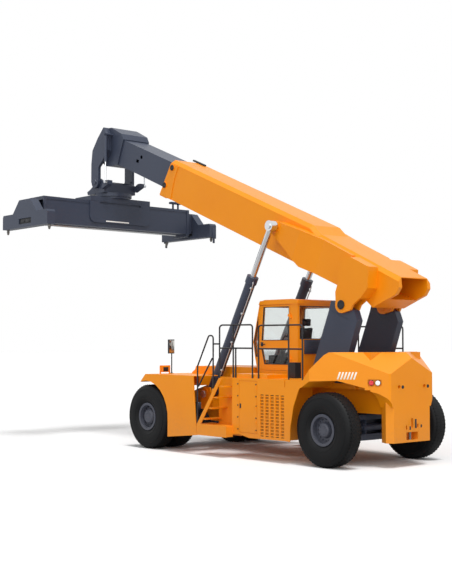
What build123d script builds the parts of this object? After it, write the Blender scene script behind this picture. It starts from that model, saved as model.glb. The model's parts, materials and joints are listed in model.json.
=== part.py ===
"""Reach stacker: container handler with a telescopic boom, in millimetres.

+X is forward, +Y is left, +Z is up.  The origin is on the ground, under the
middle of the whole outline.  Fore-and-aft places are measured from the rear
(steered) axle, and places on the boom along and square to the boom's own line
from its foot pin.
"""
from build123d import *
from math import cos, hypot, radians, sin
import os

os.makedirs("parts", exist_ok=True)

# ---------------------------------------------------------------- driving sizes
# running gear
wheelbase = 6000
tyre_radius = 823
tyre_width = 500
bead_radius = 318              # seat of a 25 inch rim
drive_inner_y = 1093           # middle of each inner front tyre
drive_outer_y = 1720           # middle of each outer front tyre
steer_wheel_y = 1451           # middle of each rear tyre
kingpin_y = 1100
steer_limit = 50               # degrees each way
axle_z = tyre_radius

# clearances
pin_gap = 0.5                  # a turning fit, on the radius
seat_gap = 0.3                 # between bodies that slide or swing past each other
plate = 20                     # usual plate thickness

# chassis
rear_overhang = 1150           # rear axle to the counterweight's rear face
frame_y = 500                  # outer face of each longitudinal
bed_y = 855                    # outer face of the bed under the towers
frame_web = 110
body_y = 1750                  # outer face of the side bodies
fender_y = 1970                # outer face of the front fenders
deck_z = 1920
arch_gap = 103                 # tyre to arch

# boom
boom_angle = 22.4              # above level, as parked
boom_low, boom_high = 0, 60
foot_pin_x, foot_pin_z = 150, 3585
foot_pin_radius = 85
tower_y, tower_width = 700, 190
outer_half = 540
lift_box_half = 800            # clears the barrels with the boom down
outer_under, outer_top_front, outer_top_rear = 300, 1345, 1065
outer_front_s, outer_rear_s = 7650, -1060
top_bevel = 90                 # along the outer boom's upper edges
inner_half = 430
inner_under, inner_top = 500, 1240
inner_rear_s, inner_front_s = 1450, 10250
reach_in, reach_out = 2200, 3400
tail_s = 4200                  # rearward of here the inner boom is shallower
tail_top = 1040

# boom head and hanger
head_pin_s, head_pin_h = 10900, -240
leg_y, leg_thick = 615, 90
head_pin_radius = 70

# tilt dampers, beside the hanger; places from the head pin
damper_y = 710
damper_x = -620
damper_top, damper_foot = 1350, -60
damper_barrel, damper_radius, damper_rod_radius = 820, 45, 22
damper_rod_length = 950

# lift cylinders
lift_y = 950
lift_pin_s, lift_pin_h = 2780, 965
lift_foot_x, lift_foot_z = 4560, 1490
lift_foot_radius = 70
barrel_radius, rod_radius = 125, 75
barrel_length = 3250

# spreader
lock_spacing = 5853            # twistlocks, across, for a 20 foot box
lock_depth = 2259              # twistlocks, fore and aft
telescope_stroke = 3050
side_shift = 800
spreader_drop = 1535           # head pin to the twistlocks' shoulder
turn_low, turn_high = -105, 195
end_beam_width = 260
beam_depth = 757               # main beam, top to bottom
beam_half = 360                # main beam, fore and aft of its middle

# rear end
tow_pin_x, tow_pin_z = -1080, 685
tow_pin_radius, tow_gap = 30, 170
taper_x, taper_y = 300, 1750   # where the hood's plan starts to narrow
taper_end_x, taper_end_y = -1120, 750

# access
stair_y = 1960                 # stair stringer and its rails
rail_radius = 19
rail_y = 1720                  # deck rails

# ---------------------------------------------------------------- worked out
lean = radians(boom_angle)
head_pin_x = foot_pin_x + head_pin_s * cos(lean) - head_pin_h * sin(lean)
head_pin_z = foot_pin_z + head_pin_s * sin(lean) + head_pin_h * cos(lean)
spreader_z = head_pin_z - spreader_drop
end_beam_half = lock_depth / 2 + 90
rear_axle_x = (rear_overhang - head_pin_x - end_beam_half) / 2
front_axle_x = rear_axle_x + wheelbase
head_x = rear_axle_x + head_pin_x
boom_foot = (rear_axle_x + foot_pin_x, 0, foot_pin_z)
arch_radius = tyre_radius + arch_gap
sides = ((1, "left"), (-1, "right"))

# side views: u forward from the rear axle (or along the boom), v upward
chassis_side = Plane(origin=(rear_axle_x, 0, 0), x_dir=(1, 0, 0), z_dir=(0, -1, 0))
boom_side = Plane(origin=boom_foot, x_dir=(cos(lean), 0, sin(lean)), z_dir=(0, -1, 0))
head_side = Plane(origin=(head_x, 0, head_pin_z), x_dir=(1, 0, 0), z_dir=(0, -1, 0))
plan = Plane(origin=(rear_axle_x, 0, 0))


def slab(view, outline, y_a, y_b, mode=Mode.ADD):
    """A plate or block with this side outline, between two widths."""
    with BuildSketch(view.offset(-max(y_a, y_b))) as profile:
        with BuildLine():
            Polyline(*outline, close=True)
        make_face()
    extrude(profile.sketch, amount=abs(y_a - y_b), mode=mode)


def disc(view, u, v, radius, y_a, y_b, mode=Mode.ADD):
    """A round bar or hole along Y, between two widths."""
    with BuildSketch(view.offset(-max(y_a, y_b))) as profile:
        with Locations((u, v)):
            Circle(radius)
    extrude(profile.sketch, amount=abs(y_a - y_b), mode=mode)


def block(x_low, x_high, y_a, y_b, z_low, z_high, mode=Mode.ADD):
    """A square block between chassis stations."""
    slab(chassis_side, [(x_low, z_low), (x_high, z_low), (x_high, z_high), (x_low, z_high)],
         y_a, y_b, mode)


def turned(axle_x, outline, side):
    """Revolve (distance outboard from the centre line, radius) about a wheel axis."""
    view = Plane(origin=(axle_x, 0, axle_z), x_dir=(0, side, 0), z_dir=(side, 0, 0))
    with BuildSketch(view) as section:
        with BuildLine():
            Polyline(*outline, close=True)
        make_face()
    revolve(section.sketch, axis=Axis((axle_x, 0, axle_z), (0, 1, 0)))


def rail(points, radius=rail_radius):
    """A bent round tube through chassis points: x from the rear axle, y, z."""
    stations = [(rear_axle_x + x, y, z) for x, y, z in points]
    with BuildLine() as path:
        if len(stations) > 2:
            FilletPolyline(*stations, radius=4 * radius)
        else:
            Polyline(*stations)
    with BuildSketch(Plane(origin=path.line @ 0, z_dir=path.line % 0)) as section:
        Circle(radius)
    sweep(section.sketch, path=path.line)


def rung(start, end, trim=rail_radius + seat_gap):
    """A straight bar between two tubes' axes, cut back at each end to meet their faces."""
    run = Vector(*end) - Vector(*start)
    step = run.normalized() * trim
    rail([tuple(Vector(*start) + step), tuple(Vector(*end) - step)])


def at_head(s, h):
    """A station on the boom, as seen from the head pin in the level view."""
    ds, dh = s - head_pin_s, h - head_pin_h
    return (ds * cos(lean) - dh * sin(lean), ds * sin(lean) + dh * cos(lean))


def finish(name, built):
    """Label a piece and write its STEP file."""
    built.part.label = name
    export_step(built.part, f"parts/{name}.step")


# ---------------------------------------------------------------- tyres and rims
def tyre_section(middle):
    """Half-round shouldered section, as (distance outboard, radius) pairs."""
    half = tyre_width / 2
    ring = tyre_radius - bead_radius
    steps = ((-0.72, 0.0), (-0.72, 0.08), (-0.94, 0.22), (-1.0, 0.48), (-0.94, 0.80),
             (-0.72, 0.98), (0.0, 1.0), (0.72, 0.98), (0.94, 0.80), (1.0, 0.48), (0.94, 0.22),
             (0.72, 0.08), (0.72, 0.0))
    return [(middle + a * half, bead_radius + b * ring) for a, b in steps]


def rim_section(middle):
    """Flanged rim band that the tyre's beads sit on."""
    half = tyre_width * 0.36
    lip = half + 22
    return [(middle - lip, bead_radius - 26), (middle - lip, bead_radius + 34),
            (middle - half - seat_gap, bead_radius + 34),
            (middle - half - seat_gap, bead_radius - seat_gap),
            (middle + half + seat_gap, bead_radius - seat_gap),
            (middle + half + seat_gap, bead_radius + 34),
            (middle + lip, bead_radius + 34), (middle + lip, bead_radius - 26)]


spindle_radius = 120
hub_radius = 190
hub_face = 178                 # hub end beyond the tyre's middle

for side, word in sides:
    with BuildPart() as drive_tyres:
        for middle in (drive_inner_y, drive_outer_y):
            turned(front_axle_x, tyre_section(middle), side)
    finish(f"drive_tyres_{word}", drive_tyres)

    hub_in = drive_inner_y - 60
    hub_out = drive_outer_y + hub_face
    with BuildPart() as drive_rims:
        for middle in (drive_inner_y, drive_outer_y):
            turned(front_axle_x, rim_section(middle), side)
        turned(front_axle_x, [
            (drive_inner_y - 150, bead_radius - 26), (drive_inner_y - 150, bead_radius - 46),
            (drive_outer_y + 150, bead_radius - 46), (drive_outer_y + 150, bead_radius - 26)], side)
        turned(front_axle_x, [
            (hub_in, spindle_radius + pin_gap), (hub_in, hub_radius),
            (drive_outer_y + 50, hub_radius + 10), (drive_outer_y + 60, bead_radius - 40),
            (drive_outer_y + 84, bead_radius - 40), (drive_outer_y + 78, hub_radius + 20),
            (hub_out - 40, hub_radius), (hub_out, hub_radius - 40), (hub_out, 0),
            (hub_out - 60, 0), (hub_out - 60, spindle_radius + pin_gap)], side)
    finish(f"drive_rims_{word}", drive_rims)

    with BuildPart() as steer_tyre:
        turned(rear_axle_x, tyre_section(steer_wheel_y), side)
    finish(f"steer_tyre_{word}", steer_tyre)

    steer_hub_out = steer_wheel_y + hub_face
    with BuildPart() as steer_rim:
        turned(rear_axle_x, rim_section(steer_wheel_y), side)
        turned(rear_axle_x, [
            (steer_wheel_y - 90, 90 + pin_gap), (steer_wheel_y - 90, 150),
            (steer_wheel_y + 40, 160), (steer_wheel_y + 60, bead_radius - 20),
            (steer_wheel_y + 84, bead_radius - 20), (steer_wheel_y + 78, 180),
            (steer_hub_out - 20, 150), (steer_hub_out, 120), (steer_hub_out, 0),
            (steer_hub_out - 40, 0), (steer_hub_out - 40, 90 + pin_gap)], side)
    finish(f"steer_rim_{word}", steer_rim)

# ---------------------------------------------------------------- axles
with BuildPart() as drive_axle:
    turned(front_axle_x, [(0, 0), (0, 300), (180, 300), (320, 200), (drive_inner_y - 260, 190),
                          (drive_inner_y - 220, 260), (drive_inner_y - 160, 260),
                          (drive_inner_y - 160, 170), (hub_in - 2, 170),
                          (hub_in - 2, spindle_radius), (hub_out - 70, spindle_radius),
                          (hub_out - 70, 0)], 1)
    turned(front_axle_x, [(0, 0), (0, 300), (180, 300), (320, 200), (drive_inner_y - 260, 190),
                          (drive_inner_y - 220, 260), (drive_inner_y - 160, 260),
                          (drive_inner_y - 160, 170), (hub_in - 2, 170),
                          (hub_in - 2, spindle_radius), (hub_out - 70, spindle_radius),
                          (hub_out - 70, 0)], -1)
    for side, word in sides:
        block(wheelbase - 190, wheelbase + 190, side * (frame_y - frame_web), side * frame_y,
              axle_z + 150, axle_z + 330)
finish("drive_axle", drive_axle)

ear_radius = 95
knuckle_half = 220
ear_thick = 65
king_radius = 45
steer_rod_x, steer_rod_radius = -60, 32
steer_eye_y = 705              # where each link meets the steering cylinder's rod
plate_low, plate_high = axle_z - knuckle_half - ear_thick, axle_z + knuckle_half + ear_thick
with BuildPart() as steer_axle:
    axle_half = kingpin_y - 120
    block(-140, 140, -axle_half, axle_half, plate_low, plate_low + 140)
    block(-140, 140, -axle_half, axle_half, plate_high - 110, plate_high)
    block(100, 140, -axle_half + 340, axle_half - 340, plate_low + 139, plate_high - 109)
    disc(chassis_side, steer_rod_x, axle_z, 80, -430, 430)
    disc(chassis_side, steer_rod_x, axle_z, steer_rod_radius, -steer_eye_y + 55, steer_eye_y - 55)
    for side, word in sides:
        # ribs that carry the steering cylinder
        block(-140, 101, side * 370, side * 400, plate_low + 139, plate_high - 109)
        for level in (-1, 1):
            height = axle_z + level * (knuckle_half + ear_thick / 2 + seat_gap)
            with BuildSketch(plan.offset(height - ear_thick / 2)):
                with Locations((0, side * kingpin_y)):
                    Circle(ear_radius)
                with Locations((0, side * (kingpin_y - 70))):
                    Rectangle(2 * ear_radius, 140)
                with Locations((0, side * kingpin_y)):
                    Circle(king_radius + pin_gap, mode=Mode.SUBTRACT)
            extrude(amount=ear_thick)
    # pad that carries the frame on the axle's middle
    block(-200, 200, -frame_y + frame_web, frame_y - frame_web, plate_high - 1, axle_z + 330)
finish("steer_axle", steer_axle)

arm_x, arm_y = -180, kingpin_y - 100       # end of each knuckle's steering arm
for side, word in sides:
    with BuildPart() as knuckle:
        with BuildSketch(plan.offset(axle_z - knuckle_half)):
            with Locations((0, side * kingpin_y)):
                Circle(88)
        extrude(amount=2 * knuckle_half)
        with BuildSketch(plan.offset(axle_z - knuckle_half - ear_thick + 2)):
            with Locations((0, side * kingpin_y)):
                Circle(king_radius)
        extrude(amount=2 * (knuckle_half + ear_thick - 2))
        disc(chassis_side, 0, axle_z, 90, side * kingpin_y, side * (steer_hub_out - 50))
        disc(chassis_side, 0, axle_z, 130, side * (kingpin_y + 80), side * (steer_wheel_y - 100))
        # steering arm, and the link towards the cylinder's rod
        with BuildSketch(plan.offset(axle_z - 25)):
            with Locations((0, side * kingpin_y), (arm_x, side * arm_y)):
                Circle(45)
            make_hull()
        extrude(amount=50)
        with BuildSketch(plan.offset(axle_z - 20)):
            with Locations((arm_x, side * arm_y), (steer_rod_x, side * steer_eye_y)):
                Circle(34)
            make_hull()
        extrude(amount=40)
    finish(f"knuckle_{word}", knuckle)

# ---------------------------------------------------------------- main frame and towers
tower_in, tower_out = tower_y - tower_width / 2, tower_y + tower_width / 2
frame_top = 1700
frame_outline = [(-800, 1153), (-800, frame_top), (wheelbase - 1000, frame_top),
                 (wheelbase - 300, 1500), (wheelbase + 190, 1300), (wheelbase + 190, 1153),
                 (wheelbase - 500, 1153), (wheelbase - 900, 700), (1300, 700), (900, 1153)]
with BuildPart() as main_frame:
    for side, word in sides:
        slab(chassis_side, frame_outline, side * (frame_y - frame_web), side * frame_y)
    for x_low, x_high, z_low, z_high in (          # cross members
            (-800, -650, 1153, frame_top), (1100, 1250, 1200, frame_top),
            (3000, 3200, 700, frame_top), (4500, 4900, 1000, frame_top - 250)):
        block(x_low, x_high, -frame_y + 1, frame_y - 1, z_low, z_high)
    # bed under the towers and the cab
    block(-250, 1350, -bed_y, bed_y, frame_top, frame_top + 120)
    # brackets of the lift cylinders' feet
    for side, word in sides:
        block(lift_foot_x - 260, lift_foot_x + 200, side * (frame_y - 1), side * (lift_y + 190),
              1050, 1300)
        for y_in, y_out in ((lift_y - 190, lift_y - 140), (lift_y + 140, lift_y + 190)):
            slab(chassis_side, [(lift_foot_x - 240, 1290), (lift_foot_x + 180, 1290),
                                (lift_foot_x + 110, lift_foot_z + 110),
                                (lift_foot_x - 130, lift_foot_z + 110)], side * y_in, side * y_out)
        disc(chassis_side, lift_foot_x, lift_foot_z, lift_foot_radius,
             side * (lift_y - 205), side * (lift_y + 215))
finish("main_frame", main_frame)

bed_top = frame_top + 120
tower_outline = [(foot_pin_x - 100, bed_top), (foot_pin_x - 150, 2500),
                 (foot_pin_x - 410, foot_pin_z - 365), (foot_pin_x - 320, foot_pin_z - 135),
                 (foot_pin_x + 380, foot_pin_z + 105), (foot_pin_x + 450, foot_pin_z - 115),
                 (foot_pin_x + 850, 2480), (foot_pin_x + 1100, bed_top)]
# weld seam across each face, below the pin
seam_outline = [(foot_pin_x - 200, foot_pin_z - 361), (foot_pin_x + 380, foot_pin_z - 131),
                (foot_pin_x + 380, foot_pin_z - 117), (foot_pin_x - 200, foot_pin_z - 347)]
seam_deep = 8
for side, word in sides:
    with BuildPart() as tower:
        slab(chassis_side, tower_outline, side * tower_in, side * tower_out)
        disc(chassis_side, foot_pin_x, foot_pin_z, foot_pin_radius + pin_gap,
             side * tower_in, side * tower_out, Mode.SUBTRACT)
        for face, inward in ((tower_in, 1), (tower_out, -1)):
            slab(chassis_side, seam_outline, side * (face - inward), side * (face + inward * seam_deep),
                 Mode.SUBTRACT)
    finish(f"boom_tower_{word}", tower)

with BuildPart() as engine:
    block(1250, 2850, -frame_y + frame_web + 20, frame_y - frame_web - 20, 760, 1640)
    block(1500, 2650, -frame_y + frame_web + 20, frame_y - frame_web - 20, 700, 780)
finish("engine", engine)

# ---------------------------------------------------------------- bodywork
def arc_points(centre_x, radius, start, end, steps):
    """Points on a wheel arch, from one angle to another in degrees."""
    return [(centre_x + radius * cos(radians(start + (end - start) * i / steps)),
             axle_z + radius * sin(radians(start + (end - start) * i / steps)))
            for i in range(steps + 1)]


fender_front = wheelbase + 230
fender_rear_x = 3930
fender_low_x = wheelbase - 920         # foot of the arch, behind the wheel
mudguard_x = fender_low_x - 50
for side, word in sides:
    with BuildPart() as fender:
        outer = ([(fender_front, 1720), (wheelbase + 20, deck_z), (fender_rear_x + 130, deck_z),
                  (fender_rear_x, 480), (fender_low_x, 370)]
                 + arc_points(wheelbase, arch_radius, 185, 77, 8))
        slab(chassis_side, outer, side * (fender_y - plate), side * fender_y)
        slab(chassis_side, [(fender_front, 1720), (wheelbase + 20, deck_z),
                            (fender_rear_x + 130, deck_z), (fender_rear_x + 128, deck_z - plate),
                            (wheelbase, deck_z - plate), (wheelbase + 205, 1710)],
             side * 1180, side * fender_y)
        slab(chassis_side, [(wheelbase + 60, deck_z), (4800, deck_z), (4800, 1640), (5000, 1640),
                            (wheelbase - 100, 1770), (wheelbase + 60, 1800)],
             side * frame_y, side * 1180)
        # mudguard behind the drive wheels, which carries the skin
        block(mudguard_x, mudguard_x + plate, side * 1160, side * (fender_y - 1), 470, deck_z - 1)
        # stiffening lip along the skin's foot
        slab(chassis_side, [(fender_rear_x, 480), (fender_low_x, 370), (fender_low_x, 390),
                            (fender_rear_x + 2, 500)], side * (fender_y - 90), side * fender_y)
    finish(f"front_fender_{word}", fender)

# louvres of the engine bay: slats in recessed columns of a removable panel
louvre_columns, louvre_rows = 5, 13
louvre_pitch_x, louvre_pitch_z = 170, 74
louvre_wide, slat_high, louvre_deep = 115, 34, 35
louvre_middle_x, louvre_middle_z = 1490, 1055
panel_front, panel_rear, panel_low, panel_top = 2620, 1990, 620, 1840
groove = 10
hinge_levels_z = (1680, 1240, 870, 660)
for side, word in sides:
    face = Plane(origin=(rear_axle_x, side * body_y, 0), x_dir=(side * -1, 0, 0), z_dir=(0, side, 0))
    with BuildPart() as side_body:
        slab(chassis_side, [(2870, 560), (2620, 580), (2270, 510), (1080, 520), (1080, deck_z - 20),
                            (2870, deck_z - 20)], side * bed_y, side * body_y)
        # arch skin in front of the steered wheel
        slab(chassis_side, [(1081, 520), (915, 510), (905, axle_z), (800, 1300), (640, 1660),
                            (590, 1729.7), (1081, 1729.7)], side * (body_y - plate), side * body_y)
        # raised edge of the walkway
        block(1700, 2970, side * bed_y, side * (body_y - 50), deck_z - 21, deck_z + 70)
        with BuildSketch(face):
            with Locations((side * -louvre_middle_x, louvre_middle_z)):
                with GridLocations(louvre_pitch_x, 1, louvre_columns, 1):
                    Rectangle(louvre_wide, louvre_rows * louvre_pitch_z)
        extrude(amount=-louvre_deep, mode=Mode.SUBTRACT)
        with BuildSketch(face.offset(-louvre_deep - 1)):
            with Locations((side * -louvre_middle_x, louvre_middle_z)):
                with GridLocations(louvre_pitch_x, louvre_pitch_z, louvre_columns, louvre_rows):
                    Rectangle(louvre_wide + 1, slat_high)
        extrude(amount=louvre_deep - 7)
        # shut line of the service door
        with BuildSketch(face):
            with Locations((side * -(panel_front + panel_rear) / 2, (panel_low + panel_top) / 2)):
                Rectangle(panel_front - panel_rear, panel_top - panel_low)
                Rectangle(panel_front - panel_rear - 2 * groove,
                          panel_top - panel_low - 2 * groove, mode=Mode.SUBTRACT)
        extrude(amount=-plate, mode=Mode.SUBTRACT)
        # hinge knuckles
        for level in hinge_levels_z:
            with BuildSketch(plan.offset(level - 35)):
                with Locations((panel_rear + 45, side * (body_y + 6))):
                    Circle(11)
            extrude(amount=70)
    finish(f"side_body_{word}", side_body)

# the hood narrows to the rear in plan, and its roof falls away to the rear corner
hood_top = 2520
taper_run = hypot(taper_x - taper_end_x, taper_y - taper_end_y)
taper_normal_x = -(taper_y - taper_end_y) / taper_run
taper_normal_y = (taper_x - taper_end_x) / taper_run
hood_rear = -700
hood_rear_y = taper_y - (taper_x - hood_rear) * (taper_y - taper_end_y) / (taper_x - taper_end_x)
lamp_from_end, lamp_z = 300, 1860
roof_point, roof_normal = (-900, 200, 2500), (-0.4566, 0.2771, 0.5727)


def trim_rear(side):
    """Cut the hood's plan taper and its falling roof, on one side."""
    split(bisect_by=Plane(origin=(rear_axle_x + taper_x, side * taper_y, 0),
                          z_dir=(taper_normal_x, side * taper_normal_y, 0)), keep=Keep.BOTTOM)
    trim_roof(side)


def corner_face(side):
    """The tapered corner of the counterweight, centred on its lamps."""
    share = lamp_from_end / taper_run
    return Plane(origin=(rear_axle_x + taper_end_x + share * (taper_x - taper_end_x),
                         side * (taper_end_y + share * (taper_y - taper_end_y)), lamp_z),
                 x_dir=(-taper_normal_y, side * taper_normal_x, 0),
                 z_dir=(taper_normal_x, side * taper_normal_y, 0))


def trim_roof(side):
    """Cut the falling roof on one side."""
    x, y, z = roof_point
    split(bisect_by=Plane(origin=(rear_axle_x + x, side * y, z),
                          z_dir=(roof_normal[0], side * roof_normal[1], roof_normal[2])),
          keep=Keep.BOTTOM)


for side, word in sides:
    with BuildPart() as hood:
        slab(chassis_side, [(1060, 1730), (1060, 1900), (500, 1900), (30, 2460), (-60, hood_top),
                            (hood_rear, hood_top), (hood_rear, 1745), (-200, 1900), (300, 1880),
                            (560, 1730)], side * bed_y, side * body_y)
        trim_rear(side)
    finish(f"rear_fender_{word}", hood)

column_half, column_wide = 610, 710
with BuildPart() as ballast_column:
    with BuildSketch(plan.offset(550)):
        with BuildLine():
            Polyline((-800, -column_half), (-1000, -column_wide), (-rear_overhang, -column_half),
                     (-rear_overhang, column_half), (-1000, column_wide), (-800, column_half),
                     close=True)
        make_face()
    extrude(amount=frame_top + 1 - 550)
rear_view = Plane(origin=(rear_axle_x - rear_overhang, 0, 0), x_dir=(0, -1, 0), z_dir=(-1, 0, 0))
with BuildPart() as counterweight:
    # upper block, flared out of the column by an arc on each side
    with BuildSketch(rear_view):
        with BuildLine():
            Polyline((-900, 1640), (-hood_rear_y - 5, frame_top), (-hood_rear_y - 5, hood_top),
                     (hood_rear_y + 5, hood_top), (hood_rear_y + 5, frame_top), (900, 1640))
            ThreePointArc((900, 1640), (755, 1510), (column_wide - 60, 1320))
            Line((column_wide - 60, 1320), (-column_wide + 60, 1320))
            ThreePointArc((-column_wide + 60, 1320), (-755, 1510), (-900, 1640))
        make_face()
    extrude(amount=-(rear_overhang - 800))
    with BuildSketch(rear_view.offset(-(rear_overhang - 801))):
        with Locations((0, (frame_top + seat_gap + hood_top) / 2)):
            Rectangle(2 * hood_rear_y, hood_top - frame_top - seat_gap)
    extrude(amount=-(801 + hood_rear - seat_gap))
    for side, word in sides:
        trim_rear(side)
    with BuildSketch(plan):
        with BuildLine():
            Polyline((hood_rear + 400, -taper_y), (hood_rear + 400, taper_y),
                     (taper_end_x, taper_end_y + 20), (taper_end_x, taper_end_y),
                     (-rear_overhang, 700), (-rear_overhang, -700), (taper_end_x, -taper_end_y),
                     (taper_end_x, -taper_end_y - 20), close=True)
        make_face()
    extrude(amount=hood_top + 10, mode=Mode.INTERSECT)
    add(ballast_column.part)
    # core between the hoods
    block(-350, hood_rear - 1, -bed_y + seat_gap, bed_y - seat_gap, frame_top + seat_gap, hood_top)
    # recess with the tow pin, keyhole and lashing slots in the rear face
    with BuildSketch(rear_view):
        with Locations((0, tow_pin_z)):
            RectangleRounded(400, tow_gap, 20)
    extrude(amount=-180, mode=Mode.SUBTRACT)
    with BuildSketch(plan.offset(tow_pin_z - tow_gap / 2 - 40)):
        with Locations((tow_pin_x, 0)):
            Circle(tow_pin_radius + pin_gap)
    extrude(amount=tow_gap + 80, mode=Mode.SUBTRACT)
    with BuildSketch(rear_view):
        for u, v, wide, high in ((0, 960, 60, 230), (-190, 870, 50, 110), (190, 900, 50, 90)):
            with Locations((u, v)):
                SlotOverall(high, wide, rotation=90)
        with Locations((-430, 1770), (430, 1770)):
            Circle(40)
    extrude(amount=-60, mode=Mode.SUBTRACT)
    # lamp pockets in the tapered corners
    for side, word in sides:
        lamp_face = corner_face(side)
        with BuildSketch(lamp_face):
            RectangleRounded(300, 150, 30)
        extrude(amount=-40, mode=Mode.SUBTRACT)
finish("counterweight", counterweight)

with BuildPart() as tow_pin:
    with BuildSketch(plan.offset(tow_pin_z - tow_gap / 2 - 40 + seat_gap)):
        with Locations((tow_pin_x, 0)):
            Circle(tow_pin_radius)
    extrude(amount=tow_gap + 79)
finish("tow_pin", tow_pin)

with BuildPart() as tail_lamps:
    for side, word in sides:
        lamp_face = corner_face(side)
        with BuildSketch(lamp_face.offset(-40 + seat_gap)):
            with Locations((-70, 0), (70, 0)):
                Circle(58)
        extrude(amount=45)
finish("tail_lamps", tail_lamps)

# stairs from the ground to the walkway, between the fender and the side body
stair_treads = ((3600, 900), (3380, 1170), (3170, 1430), (2950, 1700))      # rear edge x, z
stair_low, stair_high = (3790, 740), (2980, 1890)
stringer_wide = 140
stair_in, stair_out = 1450, stair_y - plate / 2
with BuildPart() as stairs:
    for side, word in sides:
        slab(chassis_side, [stair_low, stair_high, (stair_high[0] + stringer_wide - 20, stair_high[1]),
                            (stair_low[0] + stringer_wide - 1, stair_low[1])],
             side * stair_out, side * (stair_out + plate))
        # level seat for the stair rail's upper foot
        slab(chassis_side, [(3290, 1600), (3342, 1540), (3342, 1630), (3290, 1630)],
             side * stair_out, side * (stair_out + plate))
        for x, z in stair_treads:
            block(x, x + 200, side * stair_in, side * (stair_out + 1), z - 30, z)
        # inner wall, landing and the sill under it
        block(2870.3, 3700, side * (stair_in - plate), side * (stair_in + 0.1), 500, deck_z - 22)
        block(2870.3, fender_rear_x - 1, side * stair_in, side * (stair_out + 1), 740, 760)
        block(2835, fender_rear_x - 1, side * stair_out, side * (stair_out + plate), 490, 760)
        block(2840, 2870, side * (body_y + seat_gap), side * (stair_out + 1), 500, 740)
finish("stairs", stairs)

# tube rails of the stairs and the walkway: bent tubes, with bars welded between them
stair_rail_x, top_rail_x, cleat_z = 3905, 3316, 1630
gate_x, corner_x, deck_rail_x, rail_top = 3080, 2860, 2180, 3150
hood_rail_x, hood_rail_end = 1970, 530
with BuildPart() as handrails:
    out_y, in_y, foot_z = stair_y, rail_y, deck_z - 20
    rail([(stair_rail_x, out_y, 800), (stair_rail_x, out_y, 2158), (3480, out_y, 2900),
          (top_rail_x, out_y, 2900), (top_rail_x, out_y, cleat_z)])
    rung((stair_rail_x, out_y, 1620), (top_rail_x, out_y, 2400), 3 * rail_radius)
    rung((top_rail_x, out_y, 2700), (gate_x, out_y, 2700))
    rail([(gate_x, out_y, stair_high[1]), (gate_x, out_y, rail_top), (corner_x, in_y, rail_top),
          (deck_rail_x, in_y, rail_top), (deck_rail_x, in_y, foot_z)])
    rung((gate_x, out_y, 2600), (corner_x, in_y, 2600))
    rung((corner_x, in_y, 2600), (deck_rail_x, in_y, 2600))
    rung((corner_x, in_y, foot_z - rail_radius - seat_gap), (corner_x, in_y, rail_top))
    rung((corner_x - 90, in_y, foot_z - rail_radius - seat_gap), (corner_x - 90, in_y, 2600))
    # rail beside the cab's rear and over the hood
    rail([(hood_rail_x, in_y, foot_z), (hood_rail_x, in_y, rail_top - 20),
          (hood_rail_end, in_y, rail_top - 20), (hood_rail_end, in_y, foot_z)])
    rung((hood_rail_x, in_y, 2590), (970, in_y, 2590))
    rung((970, in_y, 2590), (hood_rail_end, in_y, 2590))
    rung((970, in_y, foot_z - rail_radius - seat_gap), (970, in_y, rail_top - 20))
    mirror(about=Plane.XZ)
finish("handrails", handrails)

# the driver's mirror and work lamp, on the left front fender
mirror_x, mirror_y = wheelbase, 1120
with BuildPart() as door_mirror:
    rail([(mirror_x, mirror_y, deck_z), (mirror_x, mirror_y, 2500)], 16)
    with BuildSketch(plan.offset(deck_z)):
        with Locations((mirror_x, mirror_y)):
            Circle(45)
    extrude(amount=15)
    with BuildSketch(plan.offset(2440)):
        with Locations((mirror_x - 25, mirror_y + 40)):
            RectangleRounded(60, 200, 25)
    extrude(amount=370)
finish("mirror", door_mirror)

lamp_x, lamp_low_y, lamp_high_y = wheelbase - 105, 1260, 1590
with BuildPart() as work_lamp:
    for y in (lamp_low_y, lamp_high_y - 30):
        block(lamp_x - 15, lamp_x + 15, y, y + 30, deck_z, deck_z + 215)
    block(lamp_x - 15, lamp_x + 15, lamp_low_y, lamp_high_y, deck_z + 185, deck_z + 215)
    block(lamp_x - 35, lamp_x + 55, lamp_low_y + 65, lamp_high_y - 65, deck_z + 40, deck_z + 186)
finish("work_lamp", work_lamp)

# boxes of valves and filters beside the cab's foot and the towers
with BuildPart() as service_boxes:
    for side, word in sides:
        block(1440, 1660, side * (bed_y + 5), side * (bed_y + 195), deck_z - 20 + seat_gap, 2270)
finish("service_boxes", service_boxes)

# ---------------------------------------------------------------- cab
cab_half = 720
cab_rear, cab_front = 1690, 3060
cab_floor, cab_roof = 1920, 3750
wall = 60
step_top, step_half = 2120, frame_y + 250
with BuildPart() as cab_base:
    block(1400, 4400, -step_half, step_half, frame_top, frame_top + 220)
    slab(chassis_side, [(3230, frame_top + 219), (4399, frame_top + 219),
                        (4399, deck_z + seat_gap), (wheelbase - 390, deck_z + seat_gap),
                        (wheelbase - 390, deck_z + 30), (wheelbase - 520, 2030),
                        (wheelbase - 560, step_top), (3230, step_top)], -step_half, step_half)
finish("cab_base", cab_base)

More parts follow.
